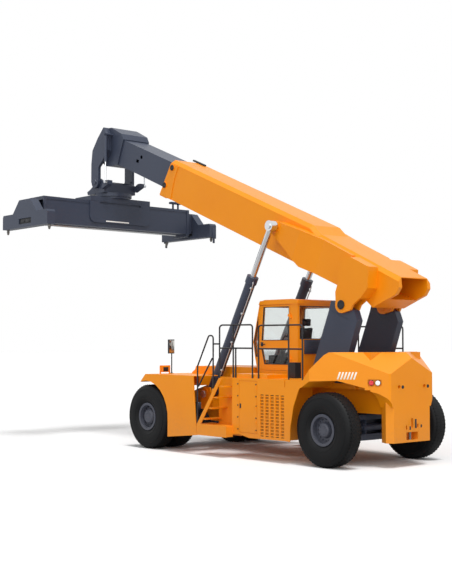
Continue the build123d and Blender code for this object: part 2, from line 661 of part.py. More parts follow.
door_gap = 6
hinge_x, hinge_y = 1935, cab_half + 22
door_front = 3010
hinge_levels = (2350, 3350)
high_window = [(1985, 2790), (2935, 2790), (2865, 3590), (1985, 3590)]
low_window = [(2000, 2210), (2840, 2210), (2945, 2590), (2000, 2590)]
nose_x, chin_x = cab_front + 190, cab_front + 120      # the windscreen's bulge
quarter_window = [(door_front + 50, 3370), (nose_x - 35, 2760), (chin_x - 30, 2390),
                  (door_front + 50, 2390)]
roof_over = 25                 # the roof cap stands out past the walls
cab_outline = [(cab_rear, cab_floor), (cab_rear, cab_roof), (cab_front - 60, cab_roof),
               (nose_x, 2750), (chin_x, 2350), (cab_front, cab_floor)]
rear_glass_half = cab_half - 75
with BuildPart() as cab:
    slab(chassis_side, cab_outline, -cab_half, cab_half)
    slab(chassis_side, [(cab_rear + wall, cab_floor + wall), (cab_rear + wall, cab_roof - wall),
                        (cab_front - 60 - wall, cab_roof - wall), (nose_x - wall, 2750),
                        (chin_x - wall, 2350), (cab_front - wall, cab_floor + wall)],
         -cab_half + wall, cab_half - wall, Mode.SUBTRACT)
    # crowned roof cap with a fascia
    slab(chassis_side, [(cab_rear - roof_over, 3655), (cab_front - 60 + roof_over, 3655),
                        (cab_front - 75, cab_roof - 20), (cab_front - 260, cab_roof + 20),
                        (cab_rear + 160, cab_roof + 20), (cab_rear - roof_over, cab_roof - 10)],
         -cab_half - roof_over, cab_half + roof_over)
    slab(chassis_side, [(cab_rear + wall, 3600), (cab_front - wall - 60, 3600),
                        (cab_front - wall - 60, cab_roof - wall), (cab_rear + wall, cab_roof - wall)],
         -cab_half + wall, cab_half - wall, Mode.SUBTRACT)
    # rear window, windscreen and its quarter panes
    block(cab_rear - 10, cab_rear + wall + 10, -rear_glass_half, rear_glass_half, 2820, 3600,
          Mode.SUBTRACT)
    block(cab_front - 200, nose_x + 10, -cab_half + 90, cab_half - 90, 2300, 3600,
          Mode.SUBTRACT)
    for side, word in sides:
        slab(chassis_side, quarter_window, side * (cab_half - wall - 10), side * (cab_half + 10),
             Mode.SUBTRACT)
    # door opening on the left, fixed windows on the right
    block(hinge_x, door_front, cab_half - wall - 10, cab_half + 10, 2060, 3640, Mode.SUBTRACT)
    slab(chassis_side, high_window, -cab_half - 10, -cab_half + wall + 10, Mode.SUBTRACT)
    slab(chassis_side, low_window, -cab_half - 10, -cab_half + wall + 10, Mode.SUBTRACT)
    # pins that the door swings on
    for level in hinge_levels:
        with BuildSketch(plan.offset(level - 40)):
            with Locations((hinge_x, hinge_y)):
                Circle(10)
        extrude(amount=130)
        with BuildSketch(plan.offset(level - 40)):
            with Locations((hinge_x - 26, hinge_y - 12)):
                Rectangle(60, 44)
        extrude(amount=40 - seat_gap)
finish("cab_shell", cab)

with BuildPart() as door:
    block(hinge_x + door_gap, door_front - door_gap, cab_half - wall, cab_half,
          2060 + door_gap, 3640 - door_gap)
    slab(chassis_side, high_window, cab_half - wall - 5, cab_half + 5, Mode.SUBTRACT)
    slab(chassis_side, low_window, cab_half - wall - 5, cab_half + 5, Mode.SUBTRACT)
    for level in hinge_levels:
        with BuildSketch(plan.offset(level)):
            with Locations((hinge_x, hinge_y)):
                Circle(20)
            with Locations((hinge_x + 37, hinge_y - 15)):
                Rectangle(66, 30)
            with Locations((hinge_x, hinge_y)):
                Circle(10 + pin_gap, mode=Mode.SUBTRACT)
        extrude(amount=60)
finish("cab_door", door)

pane, pane_in = 10, 25         # glass thickness, and how far it sits in from the wall's face
with BuildPart() as cab_glass:
    block(cab_rear + pane_in, cab_rear + pane_in + pane, -rear_glass_half, rear_glass_half,
          2820, 3600)
    for side, outline in ((-1, high_window), (-1, low_window), (-1, quarter_window),
                          (1, quarter_window)):
        slab(chassis_side, outline, side * (cab_half - pane_in - pane), side * (cab_half - pane_in))
    slab(chassis_side, [(cab_front - 48, 3600), (nose_x - 26, 2750), (chin_x - 39, 2300),
                        (chin_x - 49, 2300), (nose_x - 36, 2750), (cab_front - 58, 3600)],
         -cab_half + 90, cab_half - 90)
finish("cab_glass", cab_glass)

with BuildPart() as door_glass:
    for outline in (high_window, low_window):
        slab(chassis_side, outline, cab_half - pane_in - pane, cab_half - pane_in)
finish("door_glass", door_glass)

seat_x = 2150                  # rear of the cushion
with BuildPart() as seat:
    block(seat_x, seat_x + 500, -250, 250, 2380, 2500)
    slab(chassis_side, [(seat_x, 2500), (seat_x + 130, 2500), (seat_x + 40, 3340),
                        (seat_x - 70, 3340)], -240, 240)
    block(seat_x + 100, seat_x + 400, -150, 150, cab_floor + wall, 2380)
finish("seat", seat)

# ---------------------------------------------------------------- boom
tail_low = -985                # where the rear plates' curve meets the underside
outer_outline = [(-623, 178), (tail_low, 540), (outer_rear_s - 70, 680), (outer_rear_s - 110, 860),
                 (outer_rear_s, outer_top_rear), (1570, 1180), (1900, 1300),
                 (outer_front_s, outer_top_front), (outer_front_s + 200, 270),
                 (outer_front_s - 100, 270), (outer_front_s - 200, outer_under), (-250, outer_under)]
boom_plan = Plane(origin=boom_side.origin + boom_side.y_dir * outer_under,
                  x_dir=boom_side.x_dir, z_dir=boom_side.y_dir)
ramp_start, ramp_end, flank_half = 1950, 1268, 640
flank_outline = [(lift_pin_s + 130, lift_pin_h + 20), (lift_pin_s - 40, 1095), (ramp_start, 1140),
                 (ramp_end, 1130), (300, 1085), (300, outer_under + 1), (1736, outer_under + 1),
                 (2256, 539), (lift_pin_s + 60, 760), (lift_pin_s + 150, 830)]

# the flank that carries the lift cylinder's pin, ramped back to the boom's side
flanks = []
for side, word in sides:
    with BuildPart() as flank:
        with BuildSketch(boom_plan):
            with BuildLine():
                Polyline((200, side * (outer_half - 1)), (lift_pin_s + 200, side * (outer_half - 1)),
                         (lift_pin_s + 200, side * lift_box_half), (ramp_start, side * lift_box_half),
                         (ramp_end, side * flank_half), (200, side * flank_half), close=True)
            make_face()
        extrude(amount=1000)
        slab(boom_side, flank_outline, -lift_box_half, lift_box_half, Mode.INTERSECT)
    flanks.append(flank.part)

lug_radius, lug_thick = 188, 60
lug_gap = 5
lug_outline = [(285, outer_under + 2), (283, 199), (lug_radius, 0), (-130, -136), (-297, -14),
               (-311, 111), (-440, outer_under + 2)]
foot_outline = [(285, outer_under), (285, 368), (415, 860), (300, 1010), (150, 1090), (-430, 1065),
                (-590, 620), (-480, 345), (-440, outer_under)]
foot_out = tower_out + lug_gap + lug_thick + 5
foot_slope = 150               # the foot's upper face falls by this much to its outer edge
collar_s = outer_front_s - 330
collar_out = outer_half + plate
with BuildPart() as outer_boom:
    slab(boom_side, outer_outline, -outer_half, outer_half)
    upper = outer_boom.edges().filter_by(lambda e: abs(abs(e.center().Y) - outer_half) < 1
                                         and boom_side.to_local_coords(e.center()).Y > 1100)
    chamfer(upper.sort_by(Axis.X)[:], length=top_bevel)
    tail_stop = tail_s - reach_in - 20
    slab(boom_side, [(outer_rear_s - 200, inner_under - seat_gap), (outer_rear_s - 200, tail_top + 8),
                     (tail_stop, tail_top + 8), (tail_stop, inner_top + 8),
                     (outer_front_s + 400, inner_top + 8),
                     (outer_front_s + 400, inner_under - seat_gap)],
         -inner_half - 8, inner_half + 8, Mode.SUBTRACT)
    for flank_part in flanks:
        add(flank_part)
    for side, word in sides:
        disc(boom_side, lift_pin_s, lift_pin_h, 128, side * (lift_box_half - 60),
             side * (lift_y - 110))
        # foot: a box over the tower, with an inner and an outer lug
        slab(boom_side, lug_outline, side * (tower_in - lug_gap - lug_thick), side * (tower_in - lug_gap))
        slab(boom_side, lug_outline, side * (tower_out + lug_gap), side * foot_out)
        disc(boom_side, 0, 0, lug_radius, side * (tower_in - lug_gap - lug_thick),
             side * (tower_in - lug_gap))
        disc(boom_side, 0, 0, lug_radius, side * (tower_out + lug_gap), side * foot_out)
        slab(boom_side, foot_outline, side * (outer_half - 1), side * foot_out)
        disc(boom_side, 0, 0, foot_pin_radius, side * (tower_in - 85), side * (foot_out + 12))
        # collar that holds the front slide pads, with the pads' round covers
        slab(boom_side, [(collar_s, 1235), (collar_s + 40, 900), (collar_s + 20, 560),
                         (collar_s - 20, outer_under + 1), (outer_front_s + 185, outer_under + 1),
                         (outer_front_s + 20, 1235)], side * (outer_half - 1), side * collar_out)
        for s, h in ((outer_front_s - 100, 1140), (outer_front_s + 50, 600)):
            disc(boom_side, s, h, 85, side * (collar_out - 1), side * (collar_out + 18))
finish("outer_boom", outer_boom)

with BuildPart() as inner_boom:
    slab(boom_side, [(inner_rear_s, inner_under), (inner_rear_s, tail_top), (tail_s, tail_top),
                     (tail_s, inner_top), (inner_front_s, inner_top), (inner_front_s, inner_under)],
         -inner_half, inner_half)
    slab(boom_side, [(inner_rear_s - 5, inner_under + 25), (inner_rear_s - 5, tail_top - 25),
                     (tail_s + 25, tail_top - 25), (tail_s + 25, inner_top - 25),
                     (inner_front_s - 200, inner_top - 25), (inner_front_s - 200, inner_under + 25)],
         -inner_half + 25, inner_half - 25, Mode.SUBTRACT)
    # inspection hole and hose slot in each side plate
    for side, word in sides:
        disc(boom_side, inner_front_s - 1010, 1000, 55, side * (inner_half - 30),
             side * (inner_half + 1), Mode.SUBTRACT)
        slab(boom_side, [(inner_front_s - 939, 800), (inner_front_s - 810, 800),
                         (inner_front_s - 810, 893), (inner_front_s - 939, 893)],
             side * (inner_half - 30), side * (inner_half + 1), Mode.SUBTRACT)
finish("inner_boom", inner_boom)

leg_in, leg_out = leg_y - leg_thick / 2, leg_y + leg_thick / 2
neck_half = inner_half + 40
head_crown = [(146, 963), (-115, 1288), (-426, 1586)]          # front edge, up to the top
leg_outline = [(-170, 0), (205, 0), (205, 560)] + head_crown + [
    (-600, 1330), (-600, 900), (-400, 620), (-170, 430)]
leg_boss = 175
with BuildPart() as boom_head:
    slab(head_side, [at_head(inner_front_s, inner_under), (-560, 430), (-250, 470), (60, 800)]
         + head_crown + [(-560, 1580), (-1085, 1321), at_head(inner_front_s, inner_top + 30)],
         -neck_half, neck_half)
    # cross box between the legs
    slab(head_side, [(-400, 620), (-100, 560), (60, 800)] + head_crown
         + [(-560, 1330), (-560, 900)], -leg_in, leg_in)
    for side, word in sides:
        slab(head_side, leg_outline, side * leg_in, side * leg_out)
        disc(head_side, 10, 0, leg_boss, side * leg_in, side * leg_out)
        disc(head_side, 0, 0, head_pin_radius + pin_gap, side * leg_in, side * leg_out,
             Mode.SUBTRACT)
        disc(head_side, damper_x, damper_top, 32, side * (neck_half - 1), side * (damper_y + 60))
finish("boom_head", boom_head)

# ---------------------------------------------------------------- lift cylinders
lift_top_x = foot_pin_x + lift_pin_s * cos(lean) - lift_pin_h * sin(lean)
lift_top_z = foot_pin_z + lift_pin_s * sin(lean) + lift_pin_h * cos(lean)
lift_length = hypot(lift_top_x - lift_foot_x, lift_top_z - lift_foot_z)
lift_rod_start = 1300          # inner end of the rod above the foot pin, as parked
lift_dir = ((lift_top_x - lift_foot_x) / lift_length, 0, (lift_top_z - lift_foot_z) / lift_length)
for side, word in sides:
    foot_point = (rear_axle_x + lift_foot_x, side * lift_y, lift_foot_z)
    up = Plane(origin=foot_point, x_dir=(0, 1, 0), z_dir=lift_dir)
    with BuildPart() as barrel:
        with BuildSketch(up.offset(60)):
            Circle(barrel_radius)
        extrude(amount=barrel_length - 60)
        with BuildSketch(up.offset(barrel_length - 180)):
            Circle(barrel_radius + 22)
        extrude(amount=180)
        disc(chassis_side, lift_foot_x, lift_foot_z, 125, side * (lift_y - 130), side * (lift_y + 130))
        disc(chassis_side, lift_foot_x, lift_foot_z, lift_foot_radius + pin_gap,
             side * (lift_y - 131), side * (lift_y + 131), Mode.SUBTRACT)
        with BuildSketch(up.offset(140)):
            Circle(rod_radius + pin_gap)
        extrude(amount=barrel_length, mode=Mode.SUBTRACT)
    finish(f"lift_barrel_{word}", barrel)
    with BuildPart() as rod:
        with BuildSketch(up.offset(lift_rod_start)):
            Circle(rod_radius)
        extrude(amount=lift_length - lift_rod_start - 40)
        disc(chassis_side, lift_top_x, lift_top_z, 130, side * (lift_y - 90), side * (lift_y + 90))
        disc(chassis_side, lift_top_x, lift_top_z, 70, side * (lift_y - 109), side * (lift_y + 115))
    finish(f"lift_rod_{word}", rod)

for side, word in sides:
    with BuildPart() as damper_tube:
        with BuildSketch(Plane(origin=(head_x + damper_x, side * damper_y, head_pin_z + damper_top))):
            Circle(damper_radius)
        extrude(amount=-damper_barrel)
        disc(head_side, damper_x, damper_top, 60, side * (damper_y - 45), side * (damper_y + 45))
        disc(head_side, damper_x, damper_top, 32 + pin_gap, side * (damper_y - 46),
             side * (damper_y + 46), Mode.SUBTRACT)
        with BuildSketch(Plane(origin=(head_x + damper_x, side * damper_y,
                                       head_pin_z + damper_top - damper_barrel - 1))):
            Circle(damper_rod_radius + pin_gap)
        extrude(amount=damper_barrel - 50, mode=Mode.SUBTRACT)
    finish(f"damper_barrel_{word}", damper_tube)
    with BuildPart() as damper_rod:
        with BuildSketch(Plane(origin=(head_x + damper_x, side * damper_y, head_pin_z + damper_foot))):
            Circle(damper_rod_radius)
        extrude(amount=damper_rod_length)
        disc(head_side, damper_x, damper_foot, 45, side * (damper_y - 40), side * (damper_y + 40))
        disc(head_side, damper_x, damper_foot, 25, side * (damper_y - 49), side * (damper_y + 45))
    finish(f"damper_rod_{word}", damper_rod)

# ---------------------------------------------------------------- hanger, rotator and spreader
yoke_half = leg_in - 5
ring_z = -430
ring_radius = 520
skirt_low = -330
bracket_out = damper_y - 51    # the dampers' feet hang outside these
with BuildPart() as yoke:
    slab(head_side, [(-350, skirt_low), (-350, -60), (-120, 100), (120, 100), (180, -60),
                     (420, -190), (560, -240), (530, skirt_low)], -yoke_half, yoke_half)
    # hollow between the side plates, open to the front
    slab(head_side, [(-250, skirt_low + 90), (-250, 110), (570, 110), (570, skirt_low + 90)],
         -yoke_half + 70, yoke_half - 70, Mode.SUBTRACT)
    for side, word in sides:
        disc(head_side, 0, 0, head_pin_radius, side * (yoke_half - 69), side * (leg_out + 30))
        slab(head_side, [(damper_x - 60, damper_foot - 60), (damper_x - 60, damper_foot + 50),
                         (damper_x + 60, damper_foot + 50), (-349, -110), (-349, -240)],
             side * (yoke_half - 60), side * bracket_out)
    with BuildSketch(Plane(origin=(head_x, 0, head_pin_z + ring_z))):
        Circle(ring_radius + 40)
    extrude(amount=skirt_low - ring_z + 5)
finish("yoke", yoke)

frame_shelf = -610             # underside of the side-shift frame's top
shelf_half_x, frame_half_y = 400, 1090
slide_pad = 10
cheek_in, cheek_out, cheek_low = beam_half + 6, beam_half + 36, -1250
with BuildPart() as rotator:
    with BuildSketch(Plane(origin=(head_x, 0, head_pin_z + ring_z - seat_gap))):
        Circle(ring_radius)
    extrude(amount=-60)
    slab(head_side, [(-shelf_half_x, ring_z - 50), (shelf_half_x, ring_z - 50),
                     (shelf_half_x, frame_shelf), (-shelf_half_x, frame_shelf)],
         -frame_half_y, frame_half_y)
    # slide pads that run on the beam
    for y in (-900, 900):
        slab(head_side, [(-300, frame_shelf + 1), (300, frame_shelf + 1), (300, frame_shelf - slide_pad),
                         (-300, frame_shelf - slide_pad)], y - 120, y + 120)
    for level in (-1, 1):
        with BuildSketch(Plane(origin=(head_x + level * (cheek_in + cheek_out) / 2, 0, head_pin_z),
                               x_dir=(0, 1, 0), z_dir=(1, 0, 0))):
            with BuildLine():
                Polyline((-frame_half_y, frame_shelf + 1), (frame_half_y, frame_shelf + 1),
                         (frame_half_y, cheek_low + 180))
                RadiusArc((frame_half_y, cheek_low + 180), (frame_half_y - 180, cheek_low), 180)
                Line((frame_half_y - 180, cheek_low), (-frame_half_y + 180, cheek_low))
                RadiusArc((-frame_half_y + 180, cheek_low), (-frame_half_y, cheek_low + 180), 180)
                Line((-frame_half_y, cheek_low + 180), (-frame_half_y, frame_shelf + 1))
            make_face()
            with Locations((0, (-640 - 700) / 2)):
                SlotOverall(1500, 60, mode=Mode.SUBTRACT)
        extrude(amount=(cheek_out - cheek_in) / 2, both=True)
finish("rotator", rotator)

beam_top = frame_shelf - slide_pad - seat_gap
beam_low = beam_top - beam_depth
beam_end = 2650
arm_half_x, arm_x = 150, 175   # telescopic arms run side by side, one behind the other
arm_top = beam_top - 105
collar_long = 90
with BuildPart() as spreader:
    slab(head_side, [(-beam_half, beam_low), (beam_half, beam_low), (beam_half, beam_top),
                     (-beam_half, beam_top)], -beam_end, beam_end)
    # end collars, a little taller than the beam
    for side, word in sides:
        slab(head_side, [(-beam_half - 20, beam_low - 30), (-beam_half + 40, beam_low - 90),
                         (beam_half - 40, beam_low - 90), (beam_half + 20, beam_low - 30),
                         (beam_half + 20, beam_top + 1), (-beam_half - 20, beam_top + 1)],
             side * (beam_end - collar_long), side * beam_end)
    # grooves above the side-shift rails
    for face in (-1, 1):
        slab(head_side, [(face * (beam_half - 10), beam_top - 80), (face * (beam_half + 1), beam_top - 80),
                         (face * (beam_half + 1), beam_top - 130),
                         (face * (beam_half - 10), beam_top - 130)],
             -beam_end + collar_long, beam_end - collar_long, Mode.SUBTRACT)
    for centre in (-arm_x, arm_x):
        slab(head_side, [(centre - arm_half_x, beam_low + 25), (centre + arm_half_x, beam_low + 25),
                         (centre + arm_half_x, arm_top + 5), (centre - arm_half_x, arm_top + 5)],
             -beam_end - 1, beam_end + 1, Mode.SUBTRACT)
finish("spreader_frame", spreader)

shoulder = -spreader_drop + 20         # underside of the end beams
end_beam_top = -1100
gusset_half, ledge_half = 300, 650
pocket_deep = 30
lock_drop = 120                        # twistlock tips below the shoulder
for side, word in sides:
    centre = side * arm_x
    end_y = lock_spacing / 2
    with BuildPart() as telescope:
        slab(head_side, [(centre - arm_half_x + 5, beam_low + 25 + seat_gap),
                         (centre + arm_half_x - 5, beam_low + 25 + seat_gap),
                         (centre + arm_half_x - 5, arm_top), (centre - arm_half_x + 5, arm_top)],
             side * (end_y - 4900), side * end_y)
        slab(head_side, [(-end_beam_half, shoulder), (end_beam_half, shoulder),
                         (end_beam_half, end_beam_top - 60), (end_beam_half - 40, end_beam_top),
                         (ledge_half, end_beam_top), (gusset_half, arm_top), (-gusset_half, arm_top),
                         (-ledge_half, end_beam_top), (-end_beam_half + 40, end_beam_top),
                         (-end_beam_half, end_beam_top - 60)],
             side * (end_y - end_beam_width / 2), side * (end_y + end_beam_width / 2))
        # lightening slot, from both faces
        for face, inward in ((end_y - end_beam_width / 2, 1), (end_y + end_beam_width / 2, -1)):
            slab(head_side, [(-360, -1420), (310, -1420), (310, -1260), (-360, -1260)],
                 side * (face - inward), side * (face + inward * pocket_deep), Mode.SUBTRACT)
    finish(f"telescope_{word}", telescope)

    with BuildPart() as locks:
        for along in (-1, 1):
            x = head_x + along * lock_depth / 2
            with BuildSketch(Plane(origin=(x, side * end_y, spreader_z + 20))):
                Circle(40)
            extrude(amount=-60)
            # turned head, wider across than the neck and pointed below
            with BuildSketch(Plane(origin=(x, side * end_y, spreader_z - 40))):
                RectangleRounded(100, 60, 20)
            with BuildSketch(Plane(origin=(x, side * end_y, spreader_z - lock_drop))):
                RectangleRounded(50, 36, 12)
            loft()
    finish(f"twistlocks_{word}", locks)
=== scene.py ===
import bmesh
import bpy
import json
import math
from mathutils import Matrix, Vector


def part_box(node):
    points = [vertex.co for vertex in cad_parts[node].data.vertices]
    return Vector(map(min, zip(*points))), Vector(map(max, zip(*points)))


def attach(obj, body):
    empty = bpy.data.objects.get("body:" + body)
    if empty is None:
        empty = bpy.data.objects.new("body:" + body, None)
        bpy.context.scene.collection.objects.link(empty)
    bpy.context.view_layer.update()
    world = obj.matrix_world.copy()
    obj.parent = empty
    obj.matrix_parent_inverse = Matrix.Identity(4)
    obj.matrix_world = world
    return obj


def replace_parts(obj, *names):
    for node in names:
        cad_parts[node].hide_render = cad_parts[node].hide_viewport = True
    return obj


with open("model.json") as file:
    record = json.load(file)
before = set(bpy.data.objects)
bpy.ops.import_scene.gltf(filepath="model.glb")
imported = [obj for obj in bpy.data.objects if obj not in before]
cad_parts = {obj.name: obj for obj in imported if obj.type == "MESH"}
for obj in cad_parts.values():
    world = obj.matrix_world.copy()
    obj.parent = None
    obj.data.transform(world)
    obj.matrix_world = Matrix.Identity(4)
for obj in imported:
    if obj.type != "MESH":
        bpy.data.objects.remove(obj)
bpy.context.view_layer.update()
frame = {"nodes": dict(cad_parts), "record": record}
nodes = frame["nodes"]
bpy.ops.object.select_all(action="DESELECT")

# ---- Painted chassis, cab and outer boom: welded steel plate, blasted and sprayed with two-coat
# orange enamel, which gives flat, even colour with a low sheen and fine orange peel.
def linear(colour):
    """One sRGB hex colour as the linear numbers that a shader takes."""
    parts = [int(colour[i:i + 2], 16) / 255 for i in (1, 3, 5)]
    return [c / 12.92 if c <= 0.04045 else ((c + 0.055) / 1.055) ** 2.4 for c in parts] + [1.0]


def add(material, kind, inputs, **settings):
    """Adds a node to a material: its settings, then its sockets' numbers or links."""
    node = material.node_tree.nodes.new(kind)
    for name, value in settings.items():
        setattr(node, name, value)
    for name, value in inputs.items():
        if isinstance(value, bpy.types.NodeSocket):
            material.node_tree.links.new(value, node.inputs[name])
        else:
            node.inputs[name].default_value = value
    return node.outputs


def new_material(name):
    """An empty node material, ready for the nodes of one finish."""
    material = bpy.data.materials.new(name)
    material.use_nodes = True
    material.node_tree.nodes.clear()
    return material


def enamel(name, colour, shade, roughness, dust="#8C7A62"):
    """Sprayed enamel on plate: slow colour drift, dust low down and on flats, orange peel."""
    material = new_material(name)
    place = add(material, "ShaderNodeTexCoord", {})["Object"]
    # panels were sprayed at different times, so the colour drifts over about a metre
    drift = add(material, "ShaderNodeTexNoise",
                {"Vector": place, "Scale": 0.9, "Detail": 3.0})["Fac"]
    tone = add(material, "ShaderNodeMix", {0: drift, 6: linear(colour), 7: linear(shade)},
               data_type="RGBA")[2]
    # road dust clings within half a metre of the ground and in blotches 60 mm across
    height = add(material, "ShaderNodeSeparateXYZ", {"Vector": place})["Z"]
    low = add(material, "ShaderNodeMapRange", {"Value": height, "From Min": 1.3, "From Max": 0.35,
                                               "To Min": 0.0, "To Max": 0.32})["Result"]
    blotch = add(material, "ShaderNodeTexNoise",
                 {"Vector": place, "Scale": 16.0, "Detail": 4.0})["Fac"]
    film = add(material, "ShaderNodeMath", {0: low, 1: blotch}, operation="MULTIPLY")[0]
    dusty = add(material, "ShaderNodeMix", {0: film, 6: tone, 7: linear(dust)}, data_type="RGBA")[2]
    gloss = add(material, "ShaderNodeMapRange", {"Value": blotch, "To Min": roughness - 0.05,
                                                 "To Max": roughness + 0.08})["Result"]
    # orange peel is 3 mm across; 14 mm is the finest that still shows at this size
    peel = add(material, "ShaderNodeTexNoise",
               {"Vector": place, "Scale": 70.0, "Detail": 2.0})["Fac"]
    bump = add(material, "ShaderNodeBump",
               {"Height": peel, "Strength": 0.06, "Distance": 0.004})["Normal"]
    shader = add(material, "ShaderNodeBsdfPrincipled", {
        "Base Color": dusty, "Roughness": gloss, "Normal": bump, "IOR": 1.5,
        "Specular IOR Level": 0.35, "Coat Weight": 0.05, "Coat Roughness": 0.2})["BSDF"]
    add(material, "ShaderNodeOutputMaterial", {"Surface": shader})
    return material


def finish_nodes(material, *names):
    """Gives the named frame nodes this finish."""
    for name in names:
        for slot in nodes[name].material_slots:
            slot.material = material


orange_enamel = enamel("orange_gloss_enamel", "#FA9A08", "#F38F03", 0.4)
finish_nodes(orange_enamel, "main_frame", "engine", "front_fender_left", "front_fender_right",
             "side_body_left", "side_body_right", "rear_fender_left", "rear_fender_right",
             "counterweight", "cab_base", "cab_shell", "cab_door", "outer_boom", "stairs",
             "work_lamp")

# ---- Charcoal parts: the towers, axles, cylinder barrels, inner boom, hanger and spreader,
# welded plate in charcoal enamel, satin so that handling marks show little.
charcoal_enamel = enamel("charcoal_satin_enamel", "#3F4658", "#373E4E", 0.44, dust="#5C5D62")
finish_nodes(charcoal_enamel, "boom_tower_left", "boom_tower_right", "inner_boom", "boom_head",
             "yoke", "rotator", "spreader_frame", "telescope_left", "telescope_right",
             "lift_barrel_left", "lift_barrel_right", "damper_barrel_left", "damper_barrel_right",
             "drive_axle", "steer_axle", "knuckle_left", "knuckle_right")

# ---- Small black steel: handrails of bent tube, the mirror's stalk, lamp housings and the air
# intake boxes, powder-coated satin black, which greys a little with dust.
black_coat = enamel("black_powder_coat", "#25262A", "#1E1F22", 0.46, dust="#5E5A55")
finish_nodes(black_coat, "handrails", "mirror", "tail_lamps", "service_boxes")

# ---- Rims: five-piece rims, pressed and welded from steel, in dark satin enamel that brake
# dust makes a little paler in blotches.
rim_enamel = enamel("rim_satin_enamel", "#4E515E", "#434652", 0.45, dust="#6C6A68")
finish_nodes(rim_enamel, "drive_rims_left", "drive_rims_right", "steer_rim_left", "steer_rim_right")

# ---- Rods and locks: cylinder rods of hard-chromed, ground steel, and twistlocks and a tow pin
# forged from steel and left bare, worn bright where they meet a container.
# ground and polished chrome mirrors softly, with a thin haze of oil
hard_chrome = new_material("ground_hard_chrome")
place = add(hard_chrome, "ShaderNodeTexCoord", {})["Object"]
# oil and handling leave a haze in patches 40 mm across
haze = add(hard_chrome, "ShaderNodeTexNoise",
           {"Vector": place, "Scale": 25.0, "Detail": 3.0})["Fac"]
rough = add(hard_chrome, "ShaderNodeMapRange",
            {"Value": haze, "To Min": 0.12, "To Max": 0.26})["Result"]
shader = add(hard_chrome, "ShaderNodeBsdfPrincipled", {
    "Base Color": linear("#D9DBDE"), "Metallic": 1.0, "Roughness": rough})["BSDF"]
add(hard_chrome, "ShaderNodeOutputMaterial", {"Surface": shader})
finish_nodes(hard_chrome, "lift_rod_left", "lift_rod_right", "damper_rod_left", "damper_rod_right")

# forging scale is darker in patches, and contact wears it bright
forged_steel = new_material("forged_bare_steel")
place = add(forged_steel, "ShaderNodeTexCoord", {})["Object"]
# patches of scale are 25 mm across on a forging of this size
scale = add(forged_steel, "ShaderNodeTexNoise",
            {"Vector": place, "Scale": 40.0, "Detail": 5.0})["Fac"]
tone = add(forged_steel, "ShaderNodeMix", {0: scale, 6: linear("#8A8A88"), 7: linear("#5E5A56")},
           data_type="RGBA")[2]
shader = add(forged_steel, "ShaderNodeBsdfPrincipled", {
    "Base Color": tone, "Metallic": 0.9, "Roughness": 0.45})["BSDF"]
add(forged_steel, "ShaderNodeOutputMaterial", {"Surface": shader})
finish_nodes(forged_steel, "twistlocks_left", "twistlocks_right", "tow_pin")

# ---- Tyres: bias-ply industrial tyres of carbon-black rubber, moulded with sipes across the
# tread and rings on the walls: matt and nearly black, greyer where dust lies.
# One is modelled, and copied onto the single rear wheels and the twin front wheels.
tyre_rubber = new_material("moulded_carbon_black_rubber")
place = add(tyre_rubber, "ShaderNodeTexCoord", {})["Object"]
# dust lies in patches 140 mm across, about a tread band and a half
dust = add(tyre_rubber, "ShaderNodeTexNoise", {"Vector": place, "Scale": 7.0, "Detail": 5.0})["Fac"]
tone = add(tyre_rubber, "ShaderNodeMix", {0: dust, 6: linear("#08090B"), 7: linear("#101113")},
           data_type="RGBA")[2]
# the mould leaves a grain of 1 mm; 11 mm is the finest that still shows at this size
grain = add(tyre_rubber, "ShaderNodeTexNoise",
            {"Vector": place, "Scale": 90.0, "Detail": 3.0})["Fac"]
bump = add(tyre_rubber, "ShaderNodeBump",
           {"Height": grain, "Strength": 0.2, "Distance": 0.003})["Normal"]
shader = add(tyre_rubber, "ShaderNodeBsdfPrincipled", {
    "Base Color": tone, "Roughness": 0.55, "Specular IOR Level": 0.2, "Normal": bump})["BSDF"]
add(tyre_rubber, "ShaderNodeOutputMaterial", {"Surface": shader})


def begin():
    """Leaves the last piece, so that the next one starts by itself."""
    if bpy.context.object and bpy.context.object.mode != "OBJECT":
        bpy.ops.object.mode_set(mode="OBJECT")
    bpy.ops.object.select_all(action="DESELECT")


def pick(kind, test):
    """In edit mode, selects the piece's faces, edges or verts that pass a test."""
    mesh = bmesh.from_edit_mesh(bpy.context.object.data)
    bpy.ops.mesh.select_mode(type={"faces": "FACE", "edges": "EDGE", "verts": "VERT"}[kind])
    bpy.ops.mesh.select_all(action="DESELECT")
    for item in getattr(mesh, kind):
        if test(item):
            item.select_set(True)
    mesh.select_flush_mode()
    bmesh.update_edit_mesh(bpy.context.object.data)


def settle(name, material, body):
    """Ends a piece: its place goes into its mesh, and it is named, finished and fixed."""
    begin()
    piece = bpy.context.object
    piece.select_set(True)
    bpy.ops.object.transform_apply(location=True, rotation=True, scale=True)
    piece.name = piece.data.name = name
    piece.data.materials.clear()
    piece.data.materials.append(material)
    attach(piece, body)
    return piece


def join(pieces):
    """Joins loose pieces into the first, as one object."""
    begin()
    for piece in pieces:
        piece.select_set(True)
    bpy.context.view_layer.objects.active = pieces[0]
    bpy.ops.object.join()
    return pieces[0]


def repeat(first, places):
    """Copies of one modelled piece, each with a mesh of its own, at these places."""
    copies = []
    for place in places:
        copy = first.copy()
        copy.data = first.data.copy()
        bpy.context.scene.collection.objects.link(copy)
        copy.location = place
        copies.append(copy)
    return copies


def centre(node):
    """The middle of a frame node's box."""
    low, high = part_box(node)
    return [(a + b) / 2 for a, b in zip(low, high)]


